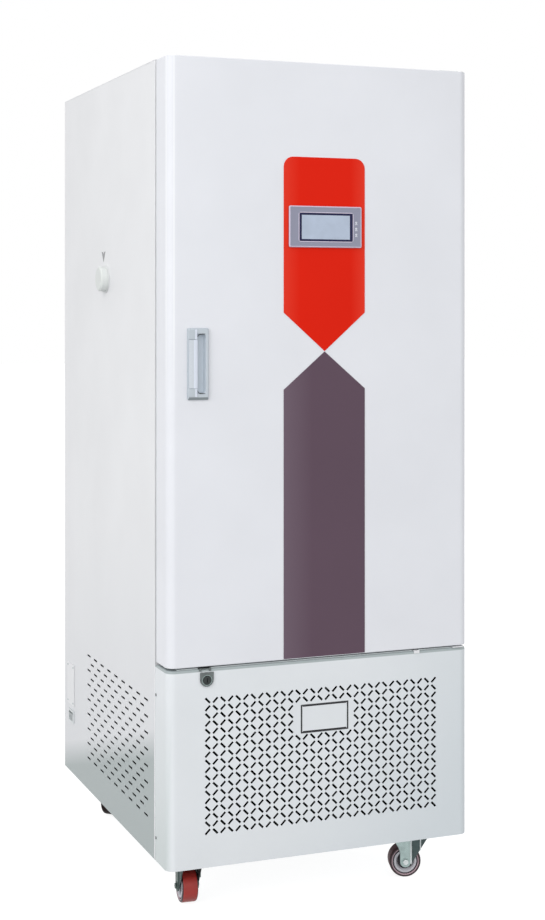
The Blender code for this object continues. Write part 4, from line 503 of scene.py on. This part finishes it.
def add_piece(name, bm, material, body, replaces=(), bevel=0.0, more=()):
    """Makes a piece of the mesh, in place, riding on a body; more holds further materials."""
    bmesh.ops.recalc_face_normals(bm, faces=bm.faces)
    mesh = bpy.data.meshes.new(name)
    bm.to_mesh(mesh)
    bm.free()
    for each in (material, *more):
        mesh.materials.append(each)
    mesh.shade_smooth()
    mesh.set_sharp_from_angle(angle=SHARP_ANGLE)
    piece = bpy.data.objects.new(name, mesh)
    bpy.context.scene.collection.objects.link(piece)
    if bevel:
        rounding = piece.modifiers.new("bevel", "BEVEL")
        rounding.width = bevel
        rounding.segments = 2
        rounding.limit_method = "ANGLE"
        rounding.angle_limit = SHARP_ANGLE
        rounding.harden_normals = True
    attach(piece, body)
    if replaces:
        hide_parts(*replaces)


# Handle: a cup pull with a pocket, and a grip bar held between two blocks


HANDLE_LOW, HANDLE_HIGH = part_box("door_handle")
HANDLE_FACE = HANDLE_LOW.y + 0.0022
# The back of the handle's plate, a hair in front of the door's face
HANDLE_SEAT = -0.3928
POCKET_LEFT = HANDLE_LOW.x + 0.0040
POCKET_RIGHT = HANDLE_HIGH.x - 0.0065
POCKET_FOOT = HANDLE_LOW.z + 0.0118
POCKET_HEAD = HANDLE_HIGH.z - 0.0112
POCKET_FLOOR = HANDLE_FACE + 0.0120
POCKET_CORNER = 0.0060
BAR_EDGE = HANDLE_LOW.x + 0.0190
BLOCK_LENGTH = 0.0222


def make_handle_housing():
    """The chamfered plate with its pocket."""
    low, high = HANDLE_LOW, HANDLE_HIGH
    plate_radius = 0.0028
    stem, stem_radius = 0.0045, 0.0030
    chamfer = 0.0034

    def pocket(inset, y):
        return door_loop(POCKET_LEFT + inset, POCKET_RIGHT - inset, POCKET_FOOT + inset,
                         POCKET_HEAD - inset, POCKET_CORNER, y)

    def plate(inset, radius, y):
        return door_loop(low.x + inset, high.x - inset, low.z + inset, high.z - inset, radius, y)

    bm = bmesh.new()
    add_loft(bm, [
        pocket(0.0020, POCKET_FLOOR),
        pocket(0.0010, POCKET_FLOOR - 0.0015),
        pocket(0, HANDLE_FACE + 0.0008),
        door_loop(POCKET_LEFT - 0.0008, POCKET_RIGHT + 0.0010, POCKET_FOOT - 0.0008,
                  POCKET_HEAD + 0.0008, POCKET_CORNER, HANDLE_FACE),
        door_loop(low.x + 0.0020, high.x - 0.0022, low.z + 0.0050, high.z - 0.0022, 0.0020,
                  HANDLE_FACE),
        plate(0, plate_radius, HANDLE_FACE + chamfer),
        plate(0, plate_radius, HANDLE_SEAT),
        plate(stem, stem_radius, HANDLE_SEAT),
        plate(stem, stem_radius, high.y),
    ])
    for each in bm.faces:
        middle = each.calc_center_median()
        inside = POCKET_LEFT < middle.x < POCKET_RIGHT and POCKET_FOOT < middle.z < POCKET_HEAD
        # Painted light: the pocket is paler than the housing, to offset the shade in its hollow
        if inside and HANDLE_FACE + 0.0009 < middle.y < POCKET_FLOOR + 0.001:
            each.material_index = 1
        # Painted shade on the lower chamfer, which faces the floor
        elif middle.z < low.z + 0.0030 and middle.y < HANDLE_FACE + 0.0030:
            each.material_index = 2
    add_piece("handle_housing", bm, HANDLE_SILVER, "door", ["door_handle"],
              more=(POCKET, HANDLE_SHADE))


def make_handle_blocks():
    """The blocks at both ends of the grip bar, with a sloped right side that carries a painted
    highlight.
    """
    low, high = HANDLE_LOW, HANDLE_HIGH
    radius, top_radius = 0.0015, 0.0010
    inset, slope = 0.0012, 0.0048
    ends = ((low.z + 0.0052, low.z + BLOCK_LENGTH), (high.z - BLOCK_LENGTH, high.z - 0.0018))
    bm = bmesh.new()
    for foot, head in ends:
        base = (low.x + 0.0008, BAR_EDGE - 0.0006, foot, head)
        top = (base[0] + inset, base[1] - slope, foot + inset, head - inset)
        add_loft(bm, [
            door_loop(*base, radius, HANDLE_FACE - GAP),
            door_loop(*base, radius, HANDLE_FACE - 0.0009),
            door_loop(*top, top_radius, low.y),
        ])
    turn_outward(bm)
    for each in bm.faces:
        each.material_index = int(each.normal.x > 0.2 and each.normal.y < -0.2)
    add_piece("handle_blocks", bm, HANDLE_SILVER, "door", more=(GRIP_PAINTED_HIGHLIGHT,))


def make_handle_grip():
    """The grip bar, a low ridge with upright sides."""
    start = HANDLE_LOW.x + 0.0016
    width = BAR_EDGE - start
    base = HANDLE_FACE - GAP
    depth = base - HANDLE_LOW.y
    foot = HANDLE_LOW.z + BLOCK_LENGTH + GAP
    ridge, crest = 0.55, 0.08
    profile = ((0, 0), (0, 0.5), (0.06, 0.72), (ridge - crest, 0.98), (ridge, 1),
               (ridge + crest, 0.98), (0.94, 0.72), (1, 0.45), (1, 0))
    outline = [Vector((start + width * share, base - depth * rise, foot)) for share, rise in profile]
    bm = bmesh.new()
    add_prism(bm, outline, UP * (HANDLE_HIGH.z - HANDLE_LOW.z - 2 * (BLOCK_LENGTH + GAP)))
    turn_outward(bm)
    # Painted highlight on the grip's faces that turn right, painted shade on its upright side walls
    for each in bm.faces:
        if abs(each.normal.z) < 0.5 and each.normal.y < 0.1:
            each.material_index = 2 if abs(each.normal.x) > 0.95 else int(each.normal.x > 0.01)
    add_piece("handle_grip", bm, GRIP_SILVER, "door", more=(GRIP_PAINTED_HIGHLIGHT, GRIP_SHADE))


def make_handle_pocket_shadow():
    """A painted shadow where the grip's insert meets the pocket's top and bottom, two dark hooks that
    thin out at the bar.
    """
    thick, bend = 0.0016, 6
    y = HANDLE_FACE - GAP
    bm = bmesh.new()
    for end, way in ((POCKET_HEAD, -1), (POCKET_FOOT, 1)):
        centre = Vector((BAR_EDGE + 0.0004 + POCKET_CORNER, y, end + way * POCKET_CORNER))
        outer, inner = [], []
        for k in range(bend + 1):
            angle = math.pi / 2 * k / bend
            along = Vector((-math.cos(angle), 0, -way * math.sin(angle)))
            outer.append(centre + along * POCKET_CORNER)
            inner.append(centre + along * (POCKET_CORNER - thick * (0.35 + 0.65 * math.sin(angle))))
        tail = Vector((POCKET_RIGHT - 0.0012, y, end))
        outer.append(tail)
        inner.append(tail + Vector((-0.001, 0, way * thick * 0.5)))
        add_prism(bm, outer + list(reversed(inner)), Vector((0, 0.0006, 0)))
    add_piece("handle_pocket_painted_shadow", bm, DARK_PLASTIC, "door")


# Display: a bezel with painted highlights on its edges, a dark ring and the screen in its window


BEZEL_LOW, BEZEL_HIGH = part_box("display_bezel")
LENS_LOW, LENS_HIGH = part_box("display_lens")
BEZEL_RIM = (BEZEL_LOW.x, BEZEL_HIGH.x, BEZEL_LOW.z, BEZEL_HIGH.z)
BEZEL_FLAT = BEZEL_LOW.y + 0.0006
WINDOW = (LENS_LOW.x - GAP, LENS_HIGH.x + GAP, LENS_LOW.z - GAP, LENS_HIGH.z + GAP)


def about(box, amount, y, radius):
    """The rounded outline of a box of x and z limits, grown by the amount."""
    return door_loop(box[0] - amount, box[1] + amount, box[2] - amount, box[3] + amount, radius, y)


def make_display_frame():
    """The bezel, with a painted highlight band along its rim and another around its window."""
    front, back = BEZEL_LOW.y, BEZEL_HIGH.y
    outer_band, inner_band = 0.0024, 0.0016
    bm = bmesh.new()
    add_loft(bm, [
        about(WINDOW, 0, LENS_HIGH.y + 0.0002, 0.0030),
        about(WINDOW, 0, front + 0.0002, 0.0030),
        about(WINDOW, 0.0006, front, 0.0036),
        about(WINDOW, inner_band - 0.0003, front, 0.0044),
        about(WINDOW, inner_band, BEZEL_FLAT, 0.0046),
        about(BEZEL_RIM, -outer_band, BEZEL_FLAT, 0.0015),
        about(BEZEL_RIM, -outer_band + 0.0004, front, 0.0018),
        about(BEZEL_RIM, -0.0010, front + 0.0003, 0.0026),
        about(BEZEL_RIM, 0, front + 0.0018, 0.0030),
        about(BEZEL_RIM, 0, back, 0.0030),
    ])
    for each in bm.faces:
        x, y, z = each.calc_center_median()
        beyond = max(WINDOW[0] - x, x - WINDOW[1], WINDOW[2] - z, z - WINDOW[3])
        within = min(x - BEZEL_RIM[0], BEZEL_RIM[1] - x, z - BEZEL_RIM[2], BEZEL_RIM[3] - z)
        band = 0.0001 < beyond < inner_band or within < outer_band
        each.material_index = int(band and y < front + 0.0015)
    add_piece("display_frame", bm, BEZEL_GREY, "door", ["display_bezel"],
              more=(BEZEL_PAINTED_HIGHLIGHT,))


def make_screen():
    """The screen and the dark ring around it."""
    screen = (LENS_LOW.x + 0.0049, LENS_HIGH.x - 0.0056, LENS_LOW.z + 0.0036, LENS_HIGH.z - 0.0037)
    front = BEZEL_LOW.y + 0.0009
    bm = bmesh.new()
    add_loft(bm, [
        about(screen, 0, LENS_HIGH.y - 0.0005, 0.0006),
        about(screen, 0, front + GAP, 0.0006),
        about(screen, 0.0004, front, 0.0008),
        about(WINDOW, -0.0002, front, 0.0024),
        about(WINDOW, -0.0002, LENS_HIGH.y, 0.0024),
    ])
    add_piece("screen_ring", bm, SCREEN_RING, "door", ["display_lens"])
    bm = bmesh.new()
    add_prism(bm, about(screen, -0.0002, front + GAP, 0.0005), Vector((0, GAP, 0)))
    add_piece("screen", bm, SCREEN, "door")


def make_key_marks():
    """Three printed touch marks beside the screen, each a small ring over a bar."""
    x = BEZEL_HIGH.x - 0.0120
    hole, radius = 0.0008, 0.0020
    bar_half, bar_foot, bar_head = 0.0026, 0.0042, 0.0031
    bm = bmesh.new()
    for z in (1.3368, 1.3249, 1.3132):
        add_lathe(bm, [(hole, 0), (radius, 0), (radius, INK), (hole, INK)], (x, BEZEL_FLAT, z),
                  (0, -1, 0), 20)
        add_box(bm, (x - bar_half, BEZEL_FLAT - INK, z - bar_foot),
                (x + bar_half, BEZEL_FLAT, z - bar_head))
    add_piece("key_marks", bm, MARKS, "door")


# Cabinet pieces


WALL = SIDE_LOW.x
COVER_TOP, COVER_FRONT = COVER_HIGH.z, COVER_LOW.y


def add_screw(bm, place, outward, radius=0.0030, height=0.0012):
    """A domed pan head, standing on a sheet."""
    head = [(0, 0), (radius, 0), (radius, height * 0.45), (radius * 0.85, height * 0.8),
            (radius * 0.45, height), (0, height)]
    add_lathe(bm, head, place, outward, 20)


def make_cover_screws():
    """The two screws in the cover's left flank."""
    bm = bmesh.new()
    for z in (0.421, 0.145):
        add_screw(bm, (WALL, -0.3205, z), (-1, 0, 0))
    add_piece("cover_screws", bm, LOCK_METAL, "cabinet")


def make_blank_plate_screws():
    low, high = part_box("side_blank_plate")
    inset = 0.006
    bm = bmesh.new()
    for y in (low.y + inset, high.y - inset):
        for z in (low.z + inset, high.z - inset):
            add_screw(bm, (low.x, y, z), (-1, 0, 0), 0.0022, 0.0009)
    add_piece("blank_plate_screws", bm, ZINC, "cabinet")


def make_back_screws():
    low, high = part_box("back_panel")
    inset, rows, pitch = 0.010, 7, 0.150
    bm = bmesh.new()
    for k in range(rows):
        z = low.z + inset + (high.z - low.z - 2 * inset) * k / (rows - 1)
        for x in (low.x + inset, high.x - inset):
            add_screw(bm, (x, high.y, z), (0, 1, 0))
    for x in (-pitch, 0.0, pitch):
        for z in (low.z + inset, high.z - inset):
            add_screw(bm, (x, high.y, z), (0, 1, 0))
    add_piece("back_screws", bm, ZINC, "cabinet")


def make_strike():
    """The plate on top of the cover that the lock's cam passes, with two small lugs in front."""
    left, right, depth = -0.2569, -0.2327, 0.0120
    lug = 0.0048
    bm = bmesh.new()
    add_box(bm, (left, COVER_FRONT - 0.0006, COVER_TOP + GAP),
            (right, COVER_FRONT + depth, COVER_TOP + 0.0016))
    for x in (left, -0.2375):
        add_box(bm, (x, COVER_FRONT - 0.0012, COVER_TOP - 0.0034),
                (x + lug, COVER_FRONT - GAP, COVER_TOP + 0.0022))
    add_piece("strike", bm, LOCK_METAL, "cabinet", bevel=0.0003)


def make_lock_ring():
    """The raised ring around the lock's cylinder."""
    low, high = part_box("lock_plate")
    middle = ((low.x + high.x) / 2, low.y, JOINTS["lock_turn"]["pos_m"][2])
    profile = [(0.0089, 0), (0.0101, 0), (0.0099, 0.0006), (0.0091, 0.0006)]
    bm = bmesh.new()
    add_lathe(bm, profile, middle, (0, -1, 0), 32)
    add_piece("lock_ring", bm, ZINC, "cabinet")


def make_cover_flange():
    """The folded flange in the seam under the door, open at the lock and at the door stop; its grey is
    painted shade.
    """
    bm = bmesh.new()
    for start, end in ((-0.3000, -0.2575), (-0.2320, 0.1972), (0.2108, 0.2856)):
        add_box(bm, (start, COVER_FRONT + 0.0045, COVER_TOP + GAP),
                (end, COVER_FRONT + 0.0200, COVER_TOP + 0.0018))
    add_piece("cover_flange", bm, SEAM_FLANGE_PAINTED_SHADE, "cabinet", bevel=0.0003)


def make_plate_border():
    """The border of the plain plate in the middle of the lattice, a dark band painted as the shade of
    the slot around it.
    """
    left, right, foot, head = -0.0472, 0.0540, 0.3379, 0.3938
    band = 0.0029
    back = COVER_FRONT - GAP
    bm = bmesh.new()
    rings = []
    for inset, y in ((0, back), (0, back - INK), (band, back - INK), (band, back)):
        loop = door_loop(left + inset, right - inset, foot + inset, head - inset, 0.0006, y, 2)
        rings.append([bm.verts.new(point) for point in loop])
    join_rings(bm, rings)
    add_piece("plate_slot_painted_shade", bm, DARK_PLASTIC, "cabinet")


def make_hinge_lip():
    """The lip of the lower hinge, in front of its bracket."""
    left, right = 0.2862, 0.3080
    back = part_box("hinge_bracket_bottom")[0].y - GAP
    bm = bmesh.new()
    add_box(bm, (left, COVER_FRONT - 0.0008, COVER_TOP + GAP), (right, back, COVER_TOP + 0.0022))
    add_piece("hinge_lip", bm, WHITE_PAINT, "cabinet", bevel=0.0004)


def make_side_bead():
    """The rounded bead along the left wall's front edge."""
    bead, bend, inset = 0.0014, 6, 0.0020
    outline = []
    for k in range(bend + 1):
        angle = math.pi * k / bend
        y = SIDE_LOW.y + bead - bead * math.cos(angle)
        outline.append(Vector((WALL - bead * math.sin(angle), y, SIDE_LOW.z + inset)))
    bm = bmesh.new()
    add_prism(bm, outline, UP * (SIDE_HIGH.z - SIDE_LOW.z - 2 * inset))
    add_piece("side_bead", bm, WHITE_PAINT, "cabinet")


def make_port_mark():
    """The painted arrow that points down at the port."""
    centre, half = 0.0560, 0.0150
    head, tip = 1.2897, 1.2665
    arrow = ((-1, head), (-0.3, head - 0.0015), (0, head - 0.0060), (0.3, head - 0.0015), (1, head),
             (0, tip))
    bm = bmesh.new()
    add_prism(bm, [Vector((WALL - INK, centre + across * half, z)) for across, z in arrow],
              Vector((INK, 0, 0)))
    add_piece("port_mark", bm, GREY_MARK, "cabinet")


def make_filter(name, start, along, into, length, height):
    """A pleated dust filter that closes the machine compartment behind a grille; its near-black colour
    is painted shade of the compartment.
    """
    fold, depth, thick = 0.0060, 0.0030, 0.0008
    ridge = [start + along * fold * k + into * depth * (k % 2) for k in range(round(length / fold) + 1)]
    bm = bmesh.new()
    add_prism(bm, ridge + [point + into * thick for point in reversed(ridge)], UP * height)
    add_piece(name, bm, PAINTED_SHADE_FILTER, "cabinet")


def make_filters():
    """One filter behind the cover's slots and one behind the left wall's."""
    across, inward = Vector((1, 0, 0)), Vector((0, 1, 0))
    clearance = 0.0030
    make_filter("grille_filter_front", Vector((-0.258, COVER_FRONT + clearance, 0.150)), across, inward,
                0.516, 0.287)
    make_filter("grille_filter_left", Vector((WALL + clearance, -0.280, 0.157)), inward, across,
                0.480, 0.255)


# Casters: a red tread on a grooved hub, in a pressed fork under a ball race


# Half widths of the wheel and of the fork, the fork's sheet and the radius of its eye
WHEEL_HALF = 0.016
FORK_INNER = WHEEL_HALF + 0.0020
FORK_SHEET = 0.0025
FORK_OUTER = FORK_INNER + FORK_SHEET
FORK_EYE = 0.0112


class Caster:
    """One caster's places: its wheel's centre and axle, its pivot, and the way it trails."""

    def __init__(self, corner):
        roll = JOINTS[f"caster_roll_{corner}"]
        self.corner = corner
        self.wheel = f"wheel_{corner}"
        self.swivel = f"swivel_{corner}"
        self.centre = Vector(roll["pos_m"])
        self.axle = Vector(roll["axis"]).normalized()
        self.pivot = Vector(JOINTS[f"caster_swivel_{corner}"]["pos_m"])
        ahead = Vector((self.pivot.x - self.centre.x, self.pivot.y - self.centre.y, 0))
        self.ahead = ahead.normalized()
        self.radius = self.centre.z
        self.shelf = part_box(f"caster_fork_{corner}")[1].z - 0.0070
        self.nose = ahead.length + 0.0220
        # Painted shade from the cabinet's shadow: the front left fork is darkened, the front right tread
        # is in half shade and the rear treads near black
        shaded = corner == "fl"
        self.tread = {"fl": TREAD, "fr": SHADED_TREAD}.get(corner, DARK_TREAD)
        self.plate_metal = SHADED_ZINC if shaded else ZINC
        self.painted_light_metal = SHADED_ZINC if shaded else PAINTED_HIGHLIGHT_ZINC

    def at(self, along, forward, height):
        """A place along the axle, forward of it and above the floor."""
        return self.centre + self.axle * along + self.ahead * forward + UP * (height - self.centre.z)


def wheel_zone(bm, caster, bands):
    """Gives each face a material by its distance from the axle: (outer radius, index) pairs."""
    for each in bm.faces:
        middle = each.calc_center_median() - caster.centre
        along = middle.dot(caster.axle)
        out = (middle - caster.axle * along).length
        each.material_index = next(index for limit, index in bands if out < limit)


def make_ring(name, caster, side, material, bands, more, replaces=()):
    """A turned ring of the wheel, whose two sides are alike."""
    bm = bmesh.new()
    add_lathe(bm, side + [(r, -along) for r, along in reversed(side)], caster.centre, caster.axle, 72)
    wheel_zone(bm, caster, bands)
    add_piece(f"{name}_{caster.corner}", bm, material, caster.wheel, replaces,
              more=more)


def make_wheel(caster):
    """The tread with its flanks, and the grooved hub inside it."""
    half, radius = WHEEL_HALF, caster.radius
    crown, bend = 0.0038, 6
    side = [(0.0256, half - 0.0020), (0.0262, half - 0.0006), (0.0280, half - 0.0002), (0.0290, half)]
    for k in range(1, bend + 1):
        angle = math.pi / 2 * k / bend
        side.append((radius - crown + crown * math.sin(angle), half - crown + crown * math.cos(angle)))
    side.append((radius, half * 0.35))
    make_ring("tread", caster, side, caster.tread, [(0.0284, 2), (radius - 0.0006, 1), (1.0, 0)],
              (TREAD_EDGE, TREAD_FLANK), [f"caster_wheel_{caster.corner}"])
    side = [(0.0255, half - 0.0022), (0.0252, half - 0.0040), (0.0238, half - 0.0040),
            (0.0234, half - 0.0012), (0.0226, half - 0.0004), (0.0196, half - 0.0004),
            (0.0186, half - 0.0014), (0.0156, half - 0.0060), (0.0150, half - 0.0090),
            (0.0098, half - 0.0094), (0.0094, half - 0.0012), (0.0086, half - 0.0006),
            (0.0046, half - 0.0006)]
    make_ring("hub", caster, side, HUB, [(0.0095, 0), (0.0153, 1), (0.0235, 0), (1.0, 1)],
              (HUB_GROOVE,))


def make_fork(caster):
    """The two legs and the top plate, pressed from one sheet."""
    at, shelf, nose = caster.at, caster.shelf, caster.nose
    flare, bend = 0.0210, 8
    leg = [(-flare, shelf), (-flare, shelf - 0.0170), (-FORK_EYE - 0.0040, shelf - 0.0270),
           (-FORK_EYE, shelf - 0.0370)]
    for k in range(bend + 1):
        angle = math.pi + math.pi * k / bend
        leg.append((FORK_EYE * math.cos(angle), caster.centre.z + FORK_EYE * math.sin(angle)))
    leg.append((FORK_EYE, shelf))
    bm = bmesh.new()
    for way in (-1, 1):
        add_prism(bm, [at(way * FORK_INNER, f, z) for f, z in leg], caster.axle * way * FORK_SHEET)
    add_prism(bm, [at(-FORK_OUTER, -flare, shelf), at(FORK_OUTER, -flare, shelf),
                   at(FORK_OUTER, nose, shelf), at(-FORK_OUTER, nose, shelf)], -UP * FORK_SHEET)
    add_piece(f"fork_{caster.corner}", bm, caster.plate_metal, caster.swivel,
              [f"caster_fork_{caster.corner}"], bevel=0.0005)


def make_fork_web(caster):
    """The webs that run forward from the legs, and the strip that joins them at the nose."""
    at, nose = caster.at, caster.nose
    top = caster.shelf - FORK_SHEET
    heel = FORK_EYE + 0.0002
    web_sheet, strip, strip_height = 0.0012, 0.0020, 0.0060
    web = [(heel, caster.centre.z - 0.0060), (nose, caster.shelf - 0.0030), (nose, top), (heel, top)]
    bm = bmesh.new()
    for way in (-1, 1):
        add_prism(bm, [at(way * FORK_INNER, f, z) for f, z in web], caster.axle * way * web_sheet)
    add_prism(bm, [at(-FORK_INNER, nose - strip, top), at(FORK_INNER, nose - strip, top),
                   at(FORK_INNER, nose, top), at(-FORK_INNER, nose, top)], -UP * strip_height)
    add_piece(f"fork_web_{caster.corner}", bm, DARK_ZINC, caster.swivel, bevel=0.0003)


def make_fork_fold(caster):
    """The round folds along the legs' and the webs' front edges, white as a painted highlight; on the
    front left fork they take its painted shade.
    """
    top = caster.shelf - FORK_SHEET
    bm = bmesh.new()
    for way in (-1, 1):
        for along, forward, foot, radius in (
                (FORK_OUTER - 0.0008, FORK_EYE, caster.centre.z - 0.0040, 0.0019),
                (FORK_INNER + 0.0012, 0.0310, caster.centre.z + 0.0230, 0.0014)):
            add_rod(bm, caster.at(way * along, forward, foot), caster.at(way * along, forward, top),
                    radius, 12)
    add_piece(f"fork_fold_{caster.corner}", bm, caster.painted_light_metal, caster.swivel)


def make_race_and_bolt(caster):
    """The ball race over the fork with its kingpin, and the axle bolt with washers and nuts."""
    race = [(0, 0.0001), (0.0195, 0.0001), (0.0215, 0.0012), (0.0220, 0.0024), (0.0238, 0.0030),
            (0.0240, 0.0046), (0.0232, 0.0056), (0.0216, 0.0062), (0.0210, 0.0069), (0, 0.0069)]
    kingpin = [(0, -0.0026), (0.0060, -0.0026), (0.0056, -0.0052), (0.0035, -0.0066), (0, -0.0070)]
    seat = FORK_OUTER + 0.0008
    washer = [(0, FORK_OUTER), (0.0078, FORK_OUTER), (0.0078, seat), (0, seat)]
    nut = [(0, seat), (0.0062, seat), (0.0062, FORK_OUTER + 0.0030), (0.0050, FORK_OUTER + 0.0037),
           (0, FORK_OUTER + 0.0037)]
    bolt_end = FORK_INNER + 0.0005
    bolt = [(0, -bolt_end), (0.0040, -bolt_end), (0.0040, bolt_end), (0, bolt_end)]
    centre, axle = caster.centre, caster.axle
    middle = Vector((caster.pivot.x, caster.pivot.y, caster.shelf))
    bm = bmesh.new()
    add_lathe(bm, race, middle, UP, 48)
    add_lathe(bm, kingpin, middle, UP, 24)
    for way in (-1, 1):
        for profile, segments in ((washer, 24), (nut, 6)):
            add_lathe(bm, [(r, way * along) for r, along in profile], centre, axle, segments)
    add_lathe(bm, bolt, centre, axle, 20)
    # Within 5 mm of the axle the bolt and nuts take the painted light metal: a painted highlight, and
    # painted shade on the front left caster
    wheel_zone(bm, caster, [(0.0050, 1), (1.0, 0)])
    add_piece(f"race_and_bolt_{caster.corner}", bm, caster.plate_metal, caster.swivel,
              bevel=0.0002, more=(caster.painted_light_metal,))


def make_caster(corner):
    caster = Caster(corner)
    make_wheel(caster)
    make_fork(caster)
    make_fork_web(caster)
    make_fork_fold(caster)
    make_race_and_bolt(caster)


# Chamber pieces


def make_shelf(level):
    """A welded wire shelf of round rods in place of the plain CAD one."""
    name = f"wire_shelf_{level}"
    low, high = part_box(name)
    rod, wire = 0.0030, 0.0014
    frame_z = low.z + rod
    top = high.z - wire
    depth = high.y - low.y
    bm = bmesh.new()
    for x in (low.x + rod, high.x - rod):
        add_rod(bm, (x, low.y, frame_z), (x, high.y, frame_z), rod, 14)
    for y in (low.y + rod, low.y + depth / 3, low.y + depth * 2 / 3, high.y - rod):
        add_rod(bm, (low.x + rod, y, frame_z), (high.x - rod, y, frame_z), rod, 14)
    count, inset, overhang = 25, 0.012, 0.001
    for k in range(count):
        x = low.x + inset + (high.x - low.x - 2 * inset) * k / (count - 1)
        add_rod(bm, (x, low.y + overhang, top), (x, high.y - overhang, top), wire)
    add_piece(f"rod_shelf_{level}", bm, STAINLESS, "cabinet", [name])


def make_gasket():
    """The folded vinyl profile of the door's gasket, a ring with two ribs."""
    low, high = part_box("door_gasket")
    front, back = low.y, high.y
    width = 0.020
    profile = [(0.0, back - 0.0012), (0.0022, back), (0.0060, back - 0.0004), (0.0078, back - 0.0024),
               (0.0098, back - 0.0024), (0.0116, back - 0.0004), (0.0178, back), (width, back - 0.0012),
               (width - 0.0012, back - 0.0044), (width, front + 0.0012), (width - 0.0020, front),
               (0.0020, front), (0.0, front + 0.0012), (0.0012, back - 0.0044)]
    bm = bmesh.new()
    rings = []
    for inset, y in profile:
        loop = door_loop(low.x + inset, high.x - inset, low.z + inset, high.z - inset, 0.0005, y, 1)
        rings.append([bm.verts.new(point) for point in loop])
    join_rings(bm, rings)
    add_piece("gasket_profile", bm, GASKET, "door", ["door_gasket"])


# Stage, camera and light


def seen_directly(tree):
    """Camera, glossy and transmission rays, which meet the white background."""
    path = add_node(tree, "ShaderNodeLightPath")
    pair = add_node(tree, "ShaderNodeMath", {0: path.outputs["Is Camera Ray"],
                                             1: path.outputs["Is Glossy Ray"]}, operation="MAXIMUM")
    return add_node(tree, "ShaderNodeMath", {0: pair.outputs[0], 1: path.outputs["Is Transmission Ray"]},
                    operation="MAXIMUM").outputs[0]


def make_stage():
    """A pale floor that the camera sees as white, with the object's shadow on it."""
    reach = 30.0
    mesh = bpy.data.meshes.new("floor")
    mesh.from_pydata([(-reach, -reach, 0), (reach, -reach, 0), (reach, reach, 0),
                      (-reach, reach, 0)], [], [(0, 1, 2, 3)])
    floor = bpy.data.objects.new("floor", mesh)
    bpy.context.scene.collection.objects.link(floor)
    material = bpy.data.materials.new("pale_floor")
    material.use_nodes = True
    tree = material.node_tree
    tree.nodes.remove(tree.nodes["Principled BSDF"])
    pale = add_node(tree, "ShaderNodeBsdfDiffuse", {"Color": (0.40, 0.41, 0.41, 1)})
    faint = add_node(tree, "ShaderNodeBsdfDiffuse", {"Color": (0.30, 0.30, 0.30, 1)})
    glow = add_node(tree, "ShaderNodeEmission", {"Color": (1, 1, 1, 1), "Strength": 0.88})
    white = add_node(tree, "ShaderNodeAddShader", {0: faint.outputs[0], 1: glow.outputs[0]})
    mix = add_node(tree, "ShaderNodeMixShader", {0: seen_directly(tree), 1: pale.outputs[0],
                                                 2: white.outputs[0]})
    tree.links.new(mix.outputs[0], tree.nodes["Material Output"].inputs["Surface"])
    mesh.materials.append(material)


def make_world(strength):
    """An even studio light, with white where the camera looks past the object."""
    world = bpy.data.worlds.new("studio")
    world.use_nodes = True
    tree = world.node_tree
    lighting = tree.nodes["Background"]
    lighting.inputs["Color"].default_value = (0.98, 0.99, 1.0, 1)
    lighting.inputs["Strength"].default_value = strength
    backdrop = add_node(tree, "ShaderNodeBackground", {"Color": (1, 1, 1, 1), "Strength": 1.0})
    mix = add_node(tree, "ShaderNodeMixShader", {0: seen_directly(tree), 1: lighting.outputs[0],
                                                 2: backdrop.outputs[0]})
    tree.links.new(mix.outputs[0], tree.nodes["World Output"].inputs["Surface"])
    bpy.context.scene.world = world


def area_light(name, location, power):
    """A soft square lamp that shines at the middle of the cabinet."""
    lamp = bpy.data.lights.new(name, "AREA")
    lamp.shape = "SQUARE"
    lamp.size = 3.5
    lamp.energy = power
    light = bpy.data.objects.new(name, lamp)
    light.location = location
    aim = Vector((0, 0, 1.0)) - Vector(location)
    light.rotation_euler = aim.to_track_quat("-Z", "Y").to_euler()
    light.visible_glossy = False
    bpy.context.scene.collection.objects.link(light)


def make_camera():
    """The camera that was fitted to the cabinet's edges in the photo."""
    camera = bpy.data.cameras.new("camera")
    camera.lens = 63.98
    camera.shift_x = 0.0005
    camera.shift_y = -0.1655
    viewer = bpy.data.objects.new("camera", camera)
    viewer.location = (-1.264, -3.3435, 1.169)
    viewer.rotation_euler = (math.pi / 2, 0, math.radians(-21.4))
    bpy.context.scene.collection.objects.link(viewer)
    bpy.context.scene.camera = viewer


dress_nodes()
make_handle_housing()
make_handle_blocks()
make_handle_grip()
make_handle_pocket_shadow()
make_display_frame()
make_screen()
make_key_marks()
make_cover_screws()
make_blank_plate_screws()
make_back_screws()
make_strike()
make_lock_ring()
make_cover_flange()
make_plate_border()
make_hinge_lip()
make_side_bead()
make_port_mark()
make_filters()
for corner in ("fl", "fr", "rl", "rr"):
    make_caster(corner)
for level in ("low", "middle", "high"):
    make_shelf(level)
make_gasket()
make_camera()
make_stage()
make_world(0.80)
area_light("key_light", (-4.0, -2.6, 3.0), 110)
area_light("front_light", (-0.8, -5.0, 2.0), 47)
area_light("back_light", (4.0, 3.4, 3.0), 70)

bpy.context.scene.view_settings.view_transform = "Standard"
